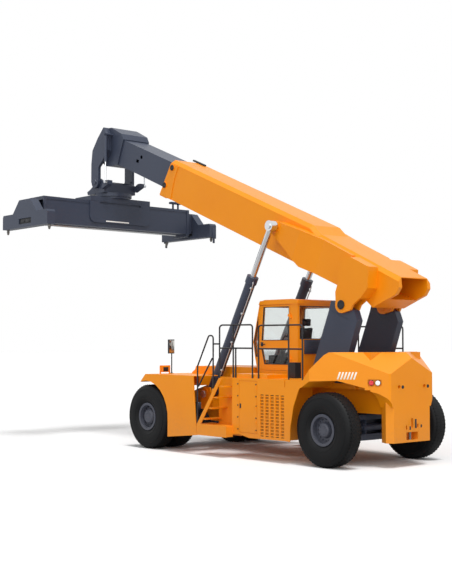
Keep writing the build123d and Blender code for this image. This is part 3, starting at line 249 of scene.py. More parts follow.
sides = ((1, "left"), (-1, "right"))
axle_x = centre("steer_tyre_left")[0]              # the rear axle, from which lengths are given
tyre_radius, bead_radius, half_tread = 0.823, 0.318, 0.180
tyre_steps, tread_band = 120, 0.045
steer_middle, inner_middle, outer_middle = 1.451, 1.093, 1.720
carcass = ((0.0, 0.040), (0.055, 0.071), (0.015, 0.131), (-0.015, 0.162), (-0.055, 0.091),
           (-0.180, 0.010), (-0.180, -0.010), (-0.055, -0.091), (-0.015, -0.162),
           (0.015, -0.131), (0.055, -0.071), (0.0, -0.040))        # each step: outboard, outward
begin()
bpy.ops.mesh.primitive_plane_add(size=0.01,
                                 location=(axle_x, half_tread, tyre_radius + bead_radius))
bpy.ops.object.mode_set(mode="EDIT")
bpy.ops.mesh.select_all(action="SELECT")
bpy.ops.mesh.merge(type="CENTER")
for across, outward in carcass:
    bpy.ops.mesh.extrude_region_move(TRANSFORM_OT_translate={"value": (0.0, across, outward)})
pick("verts", lambda v: 0.06 < v.co.z < 0.5)
bpy.ops.mesh.bevel(affect="VERTICES", offset=0.045, segments=4)
pick("edges", lambda e: min(v.co.z for v in e.verts) > 0.485)
bpy.ops.mesh.subdivide(number_cuts=3)
bpy.ops.mesh.select_all(action="SELECT")
bpy.ops.mesh.spin(steps=tyre_steps, angle=math.tau, center=(axle_x, 0.0, tyre_radius),
                  axis=(0.0, 1.0, 0.0))
bpy.ops.mesh.select_all(action="SELECT")
bpy.ops.mesh.remove_doubles(threshold=0.0005)
bpy.ops.mesh.normals_make_consistent(inside=False)


def siped(face):
    """True for every second tread face of each band, set off from band to band."""
    spot = face.calc_center_median()
    step = round(math.atan2(spot.x, spot.z + bead_radius) / math.tau * tyre_steps - 0.5)
    band = round((spot.y + half_tread) / tread_band - 0.5)
    on_tread = math.hypot(spot.x, spot.z + bead_radius) > tyre_radius - 0.023
    return on_tread and (step + band) % 2 == 0


pick("faces", siped)
bpy.ops.mesh.inset(thickness=0.011, use_individual=True)
bpy.ops.mesh.inset(thickness=0.001, depth=-0.009, use_individual=True)
bpy.ops.object.mode_set(mode="OBJECT")
bpy.ops.object.shade_smooth_by_angle(angle=math.radians(35))
rings = [bpy.context.object]
for out, across in ((0.700, 0.2365), (0.470, 0.2385)):
    for side in (-1, 1):
        begin()
        bpy.ops.mesh.primitive_torus_add(
            location=(axle_x, side * across, tyre_radius), rotation=(math.pi / 2, 0.0, 0.0),
            major_radius=out, minor_radius=0.006, major_segments=96, minor_segments=8)
        bpy.ops.object.shade_smooth()
        rings.append(bpy.context.object)
pattern_tyre = join(rings)


def fit_tyres(name, body, node, *middles):
    """Copies the tyre to each place on one hub, as one piece that stands for the node."""
    along = centre(node)[0] - axle_x
    join(repeat(pattern_tyre, [pattern_tyre.location + Vector((along, middle_y, 0.0))
                               for middle_y in middles]))
    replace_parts(settle(name, tyre_rubber, body), node)


for side, word in sides:
    fit_tyres(f"steer_tyre_siped_{word}", f"steer_wheel_{word}", f"steer_tyre_{word}",
              side * steer_middle)
    fit_tyres(f"drive_tyres_siped_{word}", f"drive_wheels_{word}", f"drive_tyres_{word}",
              side * inner_middle, side * outer_middle)
bpy.data.objects.remove(pattern_tyre)

# ---- Wheel nuts: hexagon nuts with the stud's end showing, in a ring on each wheel's disc, and
# smaller bolts round the hub's cover. Zinc-plated steel, painted over with the rim.
def ring_of_nuts(place, radius, count, across_flats, height, side):
    """Nuts round an axle at this place: one is modelled, and the ring is its copies."""
    begin()
    bpy.ops.mesh.primitive_cylinder_add(
        vertices=6, radius=across_flats / 2, depth=height, rotation=(math.pi / 2, 0.0, 0.0),
        location=(place[0], place[1] + side * height / 2, place[2] + radius))
    bpy.ops.object.mode_set(mode="EDIT")
    pick("faces", lambda f: len(f.verts) == 6 and f.normal.z * -side > 0.5)
    bpy.ops.mesh.inset(thickness=across_flats * 0.08, depth=height * 0.12)
    bpy.ops.mesh.inset(thickness=across_flats * 0.16)
    bpy.ops.mesh.inset(thickness=0.0005, depth=height * 0.3)
    bpy.ops.object.mode_set(mode="OBJECT")
    first = bpy.context.object
    turns = [math.tau * i / count for i in range(count)]
    ring = repeat(first, [(place[0] + radius * math.sin(turn), first.location.y,
                           place[2] + radius * math.cos(turn)) for turn in turns])
    bpy.data.objects.remove(first)
    return ring


disc_out, cover_out = 0.0795, 0.178                # outboard of the tyre's middle
for side, word in sides:
    for wheel, body, node, middle_y, spread in (
            ("steer", "steer_wheel", "steer_rim", steer_middle, 0.235),
            ("drive", "drive_wheels", "drive_rims", outer_middle, 0.248)):
        hub_x = centre(f"{node}_{word}")[0]
        disc = [hub_x, side * (middle_y + disc_out), tyre_radius]
        cover = [hub_x, side * (middle_y + cover_out), tyre_radius]
        join(ring_of_nuts(disc, spread, 16, 0.034, 0.024, side)
             + ring_of_nuts(cover, 0.092, 8, 0.020, 0.010, side))
        settle(f"{wheel}_wheel_nuts_{word}", rim_enamel, f"{body}_{word}")

# ---- Counterweight plugs: caps in the two lifting holes of the counterweight, and floors
# in its keyhole and lashing slots. Pressed steel, powder-coated black, driven in flush.
def block(low, high, edge):
    """A solid between two corners, in metres, with its edges rounded."""
    begin()
    bpy.ops.mesh.primitive_cube_add(size=1.0, location=[(a + b) / 2 for a, b in zip(low, high)])
    bpy.context.object.scale = [b - a for a, b in zip(low, high)]
    bpy.ops.object.transform_apply(location=False, rotation=False, scale=True)
    bpy.ops.object.mode_set(mode="EDIT")
    bpy.ops.mesh.select_all(action="SELECT")
    bpy.ops.mesh.bevel(offset=edge, segments=2)
    bpy.ops.object.mode_set(mode="OBJECT")
    bpy.ops.object.shade_smooth_by_angle(angle=math.radians(40))
    return bpy.context.object


def drum(place, radius, length, axis="y", rim=0.15):
    """A round boss on an axis, its rims rounded and its faces dished a little."""
    begin()
    turn = {"x": (0.0, math.pi / 2, 0.0), "y": (math.pi / 2, 0.0, 0.0), "z": (0.0, 0.0, 0.0)}[axis]
    bpy.ops.mesh.primitive_cylinder_add(vertices=40, radius=radius, depth=length, location=place,
                                        rotation=turn)
    bpy.ops.object.mode_set(mode="EDIT")
    pick("edges", lambda e: abs(e.verts[0].co.z - e.verts[1].co.z) < 1e-5)
    bpy.ops.mesh.bevel(offset=min(radius, length) * rim, segments=2)
    pick("faces", lambda f: len(f.verts) == 40 and abs(f.normal.z) > 0.9)
    bpy.ops.mesh.inset(thickness=radius * 0.3, depth=-min(radius, length) * 0.08)
    bpy.ops.object.mode_set(mode="OBJECT")
    bpy.ops.object.shade_smooth_by_angle(angle=math.radians(40))
    return bpy.context.object


for side, word in sides:
    drum((axle_x - 1.2500, side * 0.430, 1.770), 0.0385, 0.010, axis="x", rim=0.1)
    settle(f"counterweight_plug_{word}", black_coat, "chassis")

join([block((axle_x - 1.2540, y - wide / 2, z - high / 2),
            (axle_x - 1.2460, y + wide / 2, z + high / 2), 0.002)
      for y, z, wide, high in ((0.000, 0.960, 0.054, 0.200), (0.190, 0.870, 0.044, 0.080),
                               (-0.190, 0.900, 0.044, 0.064))])
settle("counterweight_slot_floors", black_coat, "chassis")

# ---- Side panel hardware: a flush latch on the service door, and domed bolts along both edges
# of the engine bay's side panel. Pressed steel, powder-coated black.
body_side = 1.750
for side, word in sides:
    join([block((axle_x + 2.545, side * body_side - 0.004, 1.19),
                (axle_x + 2.595, side * body_side + 0.006, 1.30), 0.003),
          drum((axle_x + 2.570, side * 1.759, 1.245), 0.014, 0.014)])
    settle(f"service_door_latch_{word}", black_coat, "chassis")
    bolt = drum((0.0, 0.0, 0.0), 0.018, 0.014, rim=0.4)
    bolts = repeat(bolt, [(axle_x + x, side * 1.756, z) for x in (2.655, 2.025)
                          for z in (0.700, 0.980, 1.260, 1.480, 1.760)])
    bpy.data.objects.remove(bolt)
    join(bolts)
    settle(f"panel_bolts_{word}", black_coat, "chassis")

# ---- Louvres: the engine bay breathes through slots, with a thin fin of painted plate halfway
# up each, tilted to shed rain, and black wire mesh behind to keep leaves out, drawn as a solid
# black sheet that is also painted shade, the dark of the bay seen through the slots. The fins are
# welded into the removable panel, and the mesh is riveted behind it.
columns = [axle_x + 1.490 + column * 0.170 for column in range(-2, 3)]
column_half, mesh_and_shade_y, fin_y = 0.0565, 1.7175, 1.731
slot_rows = [1.055 + row * 0.074 + 0.037 for row in range(-6, 6)]
for side, word in sides:
    # a solid black sheet behind the slots: the wire mesh, and painted shade of the bay behind it
    join([block((x - column_half, side * mesh_and_shade_y - 0.002, 0.576),
                (x + column_half, side * mesh_and_shade_y + 0.002, 1.534), 0.001) for x in columns])
    settle(f"louvre_mesh_{word}", black_coat, "chassis")
    fin = block((-column_half, -0.010, -0.004), (column_half, 0.010, 0.004), 0.0015)
    fin.rotation_euler.x = side * -0.5
    fins = repeat(fin, [(x, side * fin_y, z) for x in columns for z in slot_rows])
    bpy.data.objects.remove(fin)
    join(fins)
    settle(f"louvre_fins_{word}", orange_enamel, "chassis")

# ---- Hood stripes: six slanted bars of white vinyl film on each side of the rear hood, laid
# on the enamel. Smooth and bright, dulled a little by washing; 2 mm proud, to show.
white_film = new_material("white_vinyl_film")
place = add(white_film, "ShaderNodeTexCoord", {})["Object"]
# the film wears in patches 45 mm across, about a bar's width
wear = add(white_film, "ShaderNodeTexNoise", {"Vector": place, "Scale": 22.0, "Detail": 4.0})["Fac"]
tone = add(white_film, "ShaderNodeMix", {0: wear, 6: linear("#FFFDF4"), 7: linear("#F4EEDD")},
           data_type="RGBA")[2]
shader = add(white_film, "ShaderNodeBsdfPrincipled",
             {"Base Color": tone, "Roughness": 0.35})["BSDF"]
add(white_film, "ShaderNodeOutputMaterial", {"Surface": shader})
taper_start, taper_run = (0.300, 1.750), (-0.8176, -0.5758)    # the hood narrows along this line
stripe_wide, stripe_high, stripe_slant, stripe_pitch = 0.036, 0.160, 0.055, 0.0714
stripe_count, first_stripe, stripe_low = 6, 0.631, 1.930
for side, word in sides:
    stripes = []
    for i in range(stripe_count):
        along = first_stripe + stripe_pitch * i
        spot = (axle_x + taper_start[0] + taper_run[0] * along,
                side * (taper_start[1] + taper_run[1] * along), stripe_low + stripe_high / 2)
        bar = block((-stripe_wide / 2, -0.002, -stripe_high / 2),
                    (stripe_wide / 2, 0.002, stripe_high / 2), 0.0006)
        bpy.ops.object.mode_set(mode="EDIT")
        pick("verts", lambda v: v.co.z > 0.0)
        bpy.ops.transform.translate(value=(stripe_slant, 0.0, 0.0))
        bpy.ops.object.mode_set(mode="OBJECT")
        bar.rotation_euler.z = math.atan2(side * taper_run[1], taper_run[0])
        bar.location = spot
        stripes.append(bar)
    join(stripes)
    settle(f"hood_stripes_{word}", white_film, "chassis")

# ---- Lamps: moulded polycarbonate lenses, ribbed inside and glossy: red and clear on each rear
# corner, clear on the work lamp's front. They snap into their housings, and the work lamp's
# back has a black pressed cover.
def lens_plastic(name, colour):
    """Moulded polycarbonate with a lamp lens's ribs: 8 mm apart, drawn at 16 mm to show."""
    material = new_material(name)
    place = add(material, "ShaderNodeTexCoord", {})["Object"]
    ribs = add(material, "ShaderNodeTexWave",
               {"Vector": place, "Scale": 20.0}, bands_direction="Z")["Fac"]
    bump = add(material, "ShaderNodeBump",
               {"Height": ribs, "Strength": 0.3, "Distance": 0.002})["Normal"]
    shader = add(material, "ShaderNodeBsdfPrincipled", {
        "Base Color": linear(colour), "Roughness": 0.15, "IOR": 1.58, "Normal": bump,
        "Emission Color": linear(colour), "Emission Strength": 0.15})["BSDF"]
    add(material, "ShaderNodeOutputMaterial", {"Surface": shader})
    return material


red_lens = lens_plastic("red_polycarbonate", "#D8202C")
clear_lens = lens_plastic("clear_polycarbonate", "#F4F2EE")
for side, word in sides:
    for x, y, lens, colour in ((-0.8175, 0.963, red_lens, "red"),
                               (-0.9319, 0.8824, clear_lens, "clear")):
        glass = drum((0.0, 0.0, 0.0), 0.053, 0.020, rim=0.4)
        glass.rotation_euler.z = math.atan2(side * taper_run[1], taper_run[0])
        glass.location = (axle_x + x - 0.0060, side * (y + 0.0090), 1.860)
        settle(f"tail_lamp_lens_{colour}_{word}", lens, "chassis")
block((axle_x + 5.949, 1.337, 1.972), (axle_x + 5.956, 1.513, 2.094), 0.003)
settle("work_lamp_lens", clear_lens, "chassis")
block((axle_x + 5.853, 1.345, 1.978), (axle_x + 5.861, 1.505, 2.090), 0.003)
settle("work_lamp_rear_cover", black_coat, "chassis")

# ---- Mirror: silvered glass, a few millimetres thick, held in the mirror's black shell and
# facing the driver. It reflects sharply, with a faint film of dust.
mirror_silver = new_material("silvered_mirror_glass")
place = add(mirror_silver, "ShaderNodeTexCoord", {})["Object"]
# the film of dust comes in patches 80 mm across, half the glass's width
film = add(mirror_silver, "ShaderNodeTexNoise",
           {"Vector": place, "Scale": 12.0, "Detail": 3.0})["Fac"]
rough = add(mirror_silver, "ShaderNodeMapRange",
            {"Value": film, "To Min": 0.02, "To Max": 0.08})["Result"]
shader = add(mirror_silver, "ShaderNodeBsdfPrincipled", {
    "Base Color": linear("#C9C6C0"), "Metallic": 1.0, "Roughness": rough})["BSDF"]
add(mirror_silver, "ShaderNodeOutputMaterial", {"Surface": shader})
block((axle_x + 5.941, 1.075, 2.465), (axle_x + 5.946, 1.245, 2.785), 0.002)
settle("mirror_silvered_glass", mirror_silver, "chassis")

# ---- Glazing: laminated safety glass, clear and smooth with a faint grey-green tint and faint
# smears from wiping, set in the cab and its door.
cab_glazing = new_material("laminated_clear_glass")
place = add(cab_glazing, "ShaderNodeTexCoord", {})["Object"]
# a wiping hand leaves smears 200 mm across
smear = add(cab_glazing, "ShaderNodeTexNoise",
            {"Vector": place, "Scale": 5.0, "Detail": 4.0})["Fac"]
rough = add(cab_glazing, "ShaderNodeMapRange",
            {"Value": smear, "To Min": 0.0, "To Max": 0.06})["Result"]
shader = add(cab_glazing, "ShaderNodeBsdfPrincipled", {
    "Base Color": linear("#EEF1F0"), "Roughness": rough, "IOR": 1.45,
    "Transmission Weight": 1.0})["BSDF"]
add(cab_glazing, "ShaderNodeOutputMaterial", {"Surface": shader})
finish_nodes(cab_glazing, "cab_glass", "door_glass")

# ---- Window gaskets: black moulded rubber channels, matt with a grey bloom, pressed over each
# opening's edge to hold the panes in the cab's walls and in the door.
gasket_rubber = new_material("moulded_gasket_rubber")
place = add(gasket_rubber, "ShaderNodeTexCoord", {})["Object"]
# the grey bloom of old rubber comes in patches 33 mm long
bloom = add(gasket_rubber, "ShaderNodeTexNoise",
            {"Vector": place, "Scale": 30.0, "Detail": 3.0})["Fac"]
rough = add(gasket_rubber, "ShaderNodeMapRange",
            {"Value": bloom, "To Min": 0.5, "To Max": 0.75})["Result"]
shader = add(gasket_rubber, "ShaderNodeBsdfPrincipled", {
    "Base Color": linear("#17181A"), "Roughness": rough})["BSDF"]
add(gasket_rubber, "ShaderNodeOutputMaterial", {"Surface": shader})

cab_side = 0.712                       # a little inside the wall's outer face
high_pane = [(1.985, 2.790), (2.935, 2.790), (2.865, 3.590), (1.985, 3.590)]
low_pane = [(2.000, 2.210), (2.840, 2.210), (2.945, 2.590), (2.000, 2.590)]
quarter_pane = [(3.060, 3.370), (3.215, 2.760), (3.150, 2.390), (3.060, 2.390)]
rear_pane = [(-0.645, 2.820), (0.645, 2.820), (0.645, 3.600), (-0.645, 3.600)]


def gasket(corners):
    """A rubber channel round one opening."""
    begin()
    line = bpy.data.curves.new("gasket", "CURVE")
    line.dimensions = "3D"
    line.bevel_depth, line.bevel_resolution = 0.014, 2
    run = line.splines.new("POLY")
    run.points.add(len(corners) - 1)
    for point, corner in zip(run.points, corners):
        point.co = (axle_x + corner[0], corner[1], corner[2], 1.0)
    run.use_cyclic_u = True
    rubber = bpy.data.objects.new("gasket", line)
    bpy.context.scene.collection.objects.link(rubber)
    rubber.select_set(True)
    bpy.context.view_layer.objects.active = rubber
    bpy.ops.object.convert(target="MESH")
    bpy.ops.object.shade_smooth_by_angle(angle=math.radians(50))
    return bpy.context.object


join([gasket([(x, cab_side, z) for x, z in pane]) for pane in (high_pane, low_pane)])
settle("door_gaskets", gasket_rubber, "cab_door")
join([gasket([(x, -cab_side, z) for x, z in pane]) for pane in (high_pane, low_pane, quarter_pane)]
     + [gasket([(x, cab_side, z) for x, z in quarter_pane]),
        gasket([(1.700, y, z) for y, z in rear_pane])])
settle("cab_gaskets", gasket_rubber, "chassis")

# ---- Door handle: a pressed steel plate, grip and spindle, powder-coated black, bolted to the
# door's skin below the window.
join([block((axle_x + 2.885, 0.720, 2.640), (axle_x + 2.965, 0.730, 2.740), 0.004),
      block((axle_x + 2.790, 0.745, 2.675), (axle_x + 2.950, 0.757, 2.700), 0.005),
      block((axle_x + 2.930, 0.727, 2.677), (axle_x + 2.948, 0.750, 2.698), 0.003)])
settle("door_handle", black_coat, "cab_door")

# ---- Cab rear panel: a pressed cover with louvre bars under the rear window, over the heater's
# intake. Steel plate in the charcoal enamel, screwed on.
join([block((axle_x + 1.664, -0.600, 2.460), (axle_x + 1.6895, 0.510, 2.800), 0.006)]
     + [block((axle_x + 1.656, -0.500, z), (axle_x + 1.668, 0.410, z + 0.018), 0.004)
        for z in (2.520, 2.580, 2.640, 2.700, 2.740)])
settle("cab_rear_panel", charcoal_enamel, "chassis")

# ---- Driver's seat: cushions of foam in woven cloth, dark, matt and a little hairy, over a
# suspension base under bellows with folding armrests. The covers are sewn and pulled on,
# and the base is pressed steel, powder-coated black and bolted to the floor.
seat_cloth = new_material("woven_seat_cloth")
place = add(seat_cloth, "ShaderNodeTexCoord", {})["Object"]
# the threads are 1 mm apart; drawn as tufts of 17 mm, which still show at this size
fibre = add(seat_cloth, "ShaderNodeTexNoise",
            {"Vector": place, "Scale": 60.0, "Detail": 4.0})["Fac"]
tone = add(seat_cloth, "ShaderNodeMix", {0: fibre, 6: linear("#2C2C30"), 7: linear("#3A3A40")},
           data_type="RGBA")[2]
shader = add(seat_cloth, "ShaderNodeBsdfPrincipled", {
    "Base Color": tone, "Roughness": 0.9, "Sheen Weight": 0.3})["BSDF"]
add(seat_cloth, "ShaderNodeOutputMaterial", {"Surface": shader})
finish_nodes(seat_cloth, "seat")


def pad(name, low, high, recline, crown):
    """A foam cushion in its cover: a rounded, reclined block, puffed up by up to its crown."""
    form = block(low, high, min(b - a for a, b in zip(low, high)) * 0.3)
    for vertex in form.data.vertices:
        vertex.co.x -= recline * (vertex.co.z + (high[2] - low[2]) / 2)
    begin()
    form.select_set(True)
    bpy.context.view_layer.objects.active = form
    remesh = form.modifiers.new("remesh", "REMESH")
    remesh.mode, remesh.voxel_size = "VOXEL", 0.006
    bpy.ops.object.modifier_apply(modifier="remesh")
    before = [v.co.copy() for v in form.data.vertices]
    cloth = form.modifiers.new("cloth", "CLOTH")
    cloth.settings.use_pressure = True
    cloth.settings.uniform_pressure_force = 4.0
    cloth.settings.effector_weights.gravity = 0.0
    for frame_number in range(1, 21):
        bpy.context.scene.frame_set(frame_number)
    bpy.ops.object.modifier_apply(modifier="cloth")
    bpy.context.scene.frame_set(1)
    for vertex, start in zip(form.data.vertices, before):
        move = vertex.co - start
        if move.length > crown:
            vertex.co = start + move * (crown / move.length)
    smooth = form.modifiers.new("smooth", "SMOOTH")
    smooth.iterations = 6
    bpy.ops.object.modifier_apply(modifier="smooth")
    bpy.ops.object.shade_smooth()
    cushion = settle(name, seat_cloth, "chassis")
    return cushion


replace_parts(pad("seat_cushion", (axle_x + 2.17, -0.235, 2.400), (axle_x + 2.64, 0.235, 2.490),
                0.0, 0.022), "seat")
pad("seat_back", (axle_x + 2.165, -0.220, 2.530), (axle_x + 2.265, 0.220, 3.100), 0.14, 0.022)
pad("seat_head_rest", (axle_x + 2.085, -0.130, 3.130), (axle_x + 2.165, 0.130, 3.310), 0.10, 0.012)
arm_y, post_y = 0.285, 0.262
join([block((axle_x + 2.26, -0.140, 1.990), (axle_x + 2.54, 0.140, 2.040), 0.010),
      block((axle_x + 2.29, -0.120, 2.040), (axle_x + 2.51, 0.120, 2.330), 0.030),
      block((axle_x + 2.20, -0.215, 2.330), (axle_x + 2.62, 0.215, 2.375), 0.012)]
     + [block((axle_x + 2.22, side * arm_y - 0.035, 2.640),
              (axle_x + 2.56, side * arm_y + 0.035, 2.690), 0.015) for side in (-1, 1)]
     + [block((axle_x + 2.22, side * post_y - 0.012, 2.370),
              (axle_x + 2.27, side * post_y + 0.012, 2.650), 0.006) for side in (-1, 1)])
settle("seat_suspension", black_coat, "chassis")

# ---- Steering wheel, column and console: a moulded rim on three spokes, on a raked column in
# front of the seat, with a dash panel under the windscreen, bolted to the floor.
wheel_spot, wheel_rake = (axle_x + 2.880, 0.0, 2.680), -0.45
parts = [block((axle_x + 2.900, -0.060, 1.985), (axle_x + 2.985, 0.060, 2.560), 0.015),
         block((axle_x + 2.965, -0.420, 2.050), (axle_x + 3.020, 0.420, 2.420), 0.020)]
begin()
bpy.ops.mesh.primitive_torus_add(location=wheel_spot, rotation=(0.0, wheel_rake, 0.0),
                                 major_radius=0.190, minor_radius=0.014, major_segments=48,
                                 minor_segments=10)
bpy.ops.object.shade_smooth()
parts.append(bpy.context.object)
for turn in (0.5, 2.6, 4.7):
    spoke = block((-0.008, -0.012, -0.006), (0.185, 0.012, 0.006), 0.004)
    spoke.rotation_euler = (0.0, 0.0, turn)
    begin()
    spoke.select_set(True)
    bpy.ops.object.transform_apply(rotation=True)
    spoke.rotation_euler = (0.0, wheel_rake, 0.0)
    spoke.location = wheel_spot
    parts.append(spoke)
column = drum((axle_x + 2.905, 0.0, 2.610), 0.035, 0.180, axis="z")
column.rotation_euler = (0.0, wheel_rake, 0.0)
parts.append(column)
join(parts)
settle("steering_wheel_and_console", black_coat, "chassis")

# ---- Lift cylinder lines: rigid steel pipe along each barrel, in clamps, from the foot block to
# the gland, and a disc over the end of each foot pin. All zinc-plated, so bright grey with
# a soft bloom; the pipe is bent cold and the disc is bolted on.
zinc_pipe = new_material("zinc_plated_steel")
place = add(zinc_pipe, "ShaderNodeTexCoord", {})["Object"]
# zinc blooms in patches 33 mm across
bloom = add(zinc_pipe, "ShaderNodeTexNoise", {"Vector": place, "Scale": 30.0, "Detail": 4.0})["Fac"]
tone = add(zinc_pipe, "ShaderNodeMix", {0: bloom, 6: linear("#DADBDC"), 7: linear("#B4B6B8")},
           data_type="RGBA")[2]
shader = add(zinc_pipe, "ShaderNodeBsdfPrincipled", {
    "Base Color": tone, "Metallic": 0.95, "Roughness": 0.38})["BSDF"]
add(zinc_pipe, "ShaderNodeOutputMaterial", {"Surface": shader})


def pipe(stops, radius):
    """A rigid pipe through these places, its corners bent round."""
    begin()
    line = bpy.data.curves.new("pipe", "CURVE")
    line.dimensions = "3D"
    line.bevel_depth, line.bevel_resolution, line.use_fill_caps = radius, 3, True
    run = line.splines.new("NURBS")
    run.points.add(len(stops) - 1)
    for point, stop in zip(run.points, stops):
        point.co = (*stop, 1.0)
    run.order_u, run.use_endpoint_u = 3, True
    tube = bpy.data.objects.new("pipe", line)
    bpy.context.scene.collection.objects.link(tube)
    tube.select_set(True)
    bpy.context.view_layer.objects.active = tube
    bpy.ops.object.convert(target="MESH")
    bpy.ops.object.shade_smooth()
    return bpy.context.object


lift_foot, lift_y = (axle_x + 4.560, 1.490), 0.950
joints = {joint["name"]: joint for joint in frame["record"]["behaviour"]["joints"]}
for side, word in sides:
    way = joints[f"lift_stroke_{word}"]["axis"]
    rear = (-way[2], 0.0, way[0])                    # square to the barrel, towards the cab

    def beside(along, out, across):
        """A place beside a lift barrel: along it, off its axis, and sideways."""
        return (lift_foot[0] + way[0] * along + rear[0] * out, side * (lift_y + across),
                lift_foot[1] + way[2] * along + rear[2] * out)

    run = ((0.30, 0.120), (0.34, 0.160), (0.60, 0.160), (2.80, 0.160), (3.14, 0.160), (3.16, 0.120))
    lines = [pipe([beside(along, out, 0.060) for along, out in run], 0.014)]
    for along in (0.70, 1.50, 2.30, 3.00):
        clamp = block((-0.030, -0.030, -0.025), (0.030, 0.030, 0.025), 0.006)
        clamp.rotation_euler.y = -math.atan2(way[2], way[0]) + math.pi / 2
        clamp.location = beside(along, 0.148, 0.060)
        lines.append(clamp)
    join(lines)
    settle(f"lift_pipe_{word}", zinc_pipe, f"lift_barrel_{word}")
    drum((lift_foot[0], side * 1.235, lift_foot[1] - 0.060), 0.085, 0.060)
    settle(f"lift_foot_cover_{word}", zinc_pipe, "chassis")

# ---- Boom pin covers: dark pressed steel discs, powder-coated, bolted over the foot pins and
# over the front slide pads.
lean = math.radians(22.4)
foot_x, foot_z = axle_x + 0.150, 3.585


def on_boom(along, square, y):
    """A place given along the boom from its foot pin, and square to it."""
    return (foot_x + along * math.cos(lean) - square * math.sin(lean), y,
            foot_z + along * math.sin(lean) + square * math.cos(lean))


for side, word in sides:
    covers = []
    for along, square, out, radius in ((0.0, 0.0, 0.877, 0.105), (7.55, 1.14, 0.578, 0.078),
                                       (7.70, 0.60, 0.578, 0.078)):
        spot = on_boom(along, square, side * (out + 0.006))
        covers.append(drum(spot, radius, 0.014))
        covers += ring_of_nuts((spot[0], side * (out + 0.012), spot[2]), radius * 0.72, 6,
                               0.024, 0.010, side)
    join(covers)
    settle(f"boom_pin_covers_{word}", black_coat, "boom")

# ---- Boom top fittings: a stop bar on the outer boom and hose guides on the inner one, of
# steel plate coated black and welded on.
def on_boom_block(s_low, s_high, y_low, y_high, h_low, h_high, edge):
    """A block laid along the boom, given between stations along and square to it."""
    bar = block((s_low, y_low, h_low), (s_high, y_high, h_high), edge)
    spot = bar.location.copy()
    bar.location = on_boom(spot.x, spot.z, spot.y)
    bar.rotation_euler.y = -lean
    return bar


on_boom_block(7.300, 7.840, -0.380, -0.300, 1.345, 1.390, 0.006)
settle("boom_stop_bar", black_coat, "boom")
join([on_boom_block(10.860, 11.100, -0.200, 0.200, 1.238, 1.266, 0.006),
      on_boom_block(10.930, 11.030, -0.120, 0.120, 1.262, 1.290, 0.006)])
settle("boom_top_hose_guides", black_coat, "telescopic_boom")

# ---- Hanger pin keepers: bright round keepers that hold the hanger's pins in the boom head,
# zinc-plated steel, each with three bolts.
head_x, head_z = axle_x + 10.319, 7.517
for side, word in sides:
    join([drum((head_x, side * 0.668, head_z), 0.072, 0.016)]
         + ring_of_nuts((head_x, side * 0.674, head_z), 0.045, 3, 0.022, 0.010, side))
    settle(f"hanger_pin_keeper_{word}", zinc_pipe, "telescopic_boom")

# ---- Spreader fittings: a plated bar and a light strip under the main beam, a hoop of tube and
# plate that guides the hoses over it, and a wear strip on its top. The hoop is welded on,
# and the strips are screwed on.
drum((head_x, 0.100, head_z - 1.395), 0.036, 5.0, rim=0.3)
settle("spreader_light_bar", zinc_pipe, "spreader")
join([pipe([(head_x, y, head_z - down) for down in (0.630, 0.500, 0.400)], 0.032)
      for y in (-2.50, -2.30)]
     + [block((head_x - 0.070, -2.620, head_z - 0.420),
              (head_x + 0.070, -2.180, head_z - 0.350), 0.020)])
settle("hose_guide_hoop", charcoal_enamel, "spreader")
block((head_x - 0.330, 2.080, head_z - 0.624), (head_x - 0.250, 2.620, head_z - 0.612), 0.003)
settle("beam_wear_strip", black_coat, "spreader")
block((head_x - 0.402, -0.305, head_z - 1.215), (head_x - 0.397, 0.530, head_z - 1.180), 0.002)
settle("spreader_light_strip", clear_lens, "rotator")

# ---- End beam sensors: black coated covers and sensor boxes in the slots of both end beams,
# which feel when the spreader sits on a container. Pressed steel, bolted in.
for side, word in sides:
    lining = []
    for face in (2.8255, 3.0275):          # the lightening slot's floor, seen from each face
        lining.append(block((head_x - 0.355, side * face - 0.002, head_z - 1.415),
                            (head_x + 0.305, side * face + 0.002, head_z - 1.265), 0.001))
        for x in (-0.270, 0.020):
            lining.append(block((head_x + x, side * face - 0.012, head_z - 1.385),
                                (head_x + x + 0.200, side * face + 0.012, head_z - 1.300), 0.006))
    join(lining)
    settle(f"end_beam_sensors_{word}", black_coat, f"telescope_{word}")

# ---- Corner guides: tapered steel shoes on the right end beam's corners, which slide down a
# container's corner posts. Welded on, and charcoal like the beam.
for end, word in ((1, "front"), (-1, "rear")):
    join([block((head_x + end * 1.210 - 0.030, -3.045, head_z - 1.560),
                (head_x + end * 1.210 + 0.030, -2.895, head_z - 1.220), 0.012),
          block((head_x + end * 1.205 - 0.020, -3.005, head_z - 1.700),
                (head_x + end * 1.205 + 0.020, -2.935, head_z - 1.545), 0.012)])
    settle(f"corner_guide_{word}", charcoal_enamel, "telescope_right")

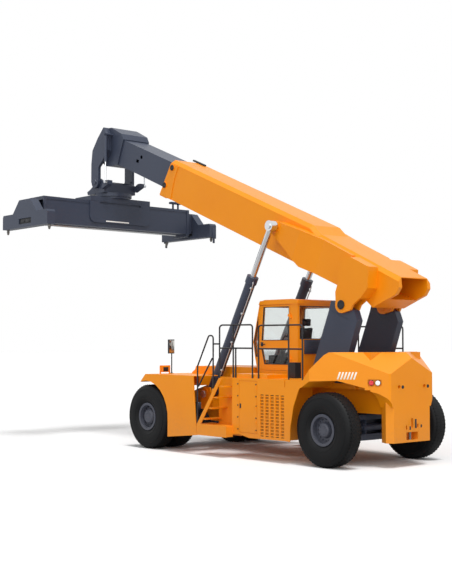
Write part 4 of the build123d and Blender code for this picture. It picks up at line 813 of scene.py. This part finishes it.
# ---- Studio: a pale floor, a white backdrop and soft lamps, with the camera behind and to the
# left of the machine, a little above its wheels' tops.
bpy.ops.mesh.primitive_plane_add(size=400.0, location=(0.0, 0.0, 0.0))
floor = bpy.context.object
floor.name = "studio_floor"
pale_floor = new_material("pale_studio_floor")
seen = add(pale_floor, "ShaderNodeLightPath", {})["Is Camera Ray"]
tone = add(pale_floor, "ShaderNodeMix", {0: seen, 6: linear("#C8C8C8"), 7: linear("#FFFFFF")},
           data_type="RGBA")[2]
shader = add(pale_floor, "ShaderNodeBsdfDiffuse", {"Color": tone})["BSDF"]
add(pale_floor, "ShaderNodeOutputMaterial", {"Surface": shader})
floor.data.materials.append(pale_floor)

world = bpy.data.worlds.new("studio")
bpy.context.scene.world = world
world.use_nodes = True
world.node_tree.nodes.clear()
path = add(world, "ShaderNodeLightPath", {})
seen = add(world, "ShaderNodeMath", {0: path["Is Camera Ray"], 1: path["Is Glossy Ray"]},
           operation="MAXIMUM")[0]
seen = add(world, "ShaderNodeMath", {0: seen, 1: path["Is Transmission Ray"]},
           operation="MAXIMUM")[0]
level = add(world, "ShaderNodeMapRange", {"Value": seen, "To Min": 0.26, "To Max": 1.0})["Result"]
backdrop = add(world, "ShaderNodeBackground", {"Color": linear("#FFFFFF"), "Strength": level})[0]
add(world, "ShaderNodeOutputWorld", {"Surface": backdrop})

for name, power, turn, angle in (("key", 1.75, (18, 0, -110), 16),
                                 ("fill", 1.85, (64, 0, -143), 90)):
    lamp = bpy.data.lights.new(name, "SUN")
    lamp.energy, lamp.angle = power, math.radians(angle)
    lamp_object = bpy.data.objects.new(name, lamp)
    lamp_object.rotation_euler = [math.radians(a) for a in turn]
    bpy.context.scene.collection.objects.link(lamp_object)

camera_data = bpy.data.cameras.new("camera")
camera_data.lens, camera_data.sensor_width = 66.64, 36.0
camera = bpy.data.objects.new("camera", camera_data)
camera.location = (-21.713, 18.760, 2.767)
camera.rotation_euler = Vector((0.755, -0.655, 0.0454)).to_track_quat("-Z", "Y").to_euler()
bpy.context.scene.collection.objects.link(camera)
bpy.context.scene.camera = camera
bpy.context.scene.view_settings.view_transform = "Standard"
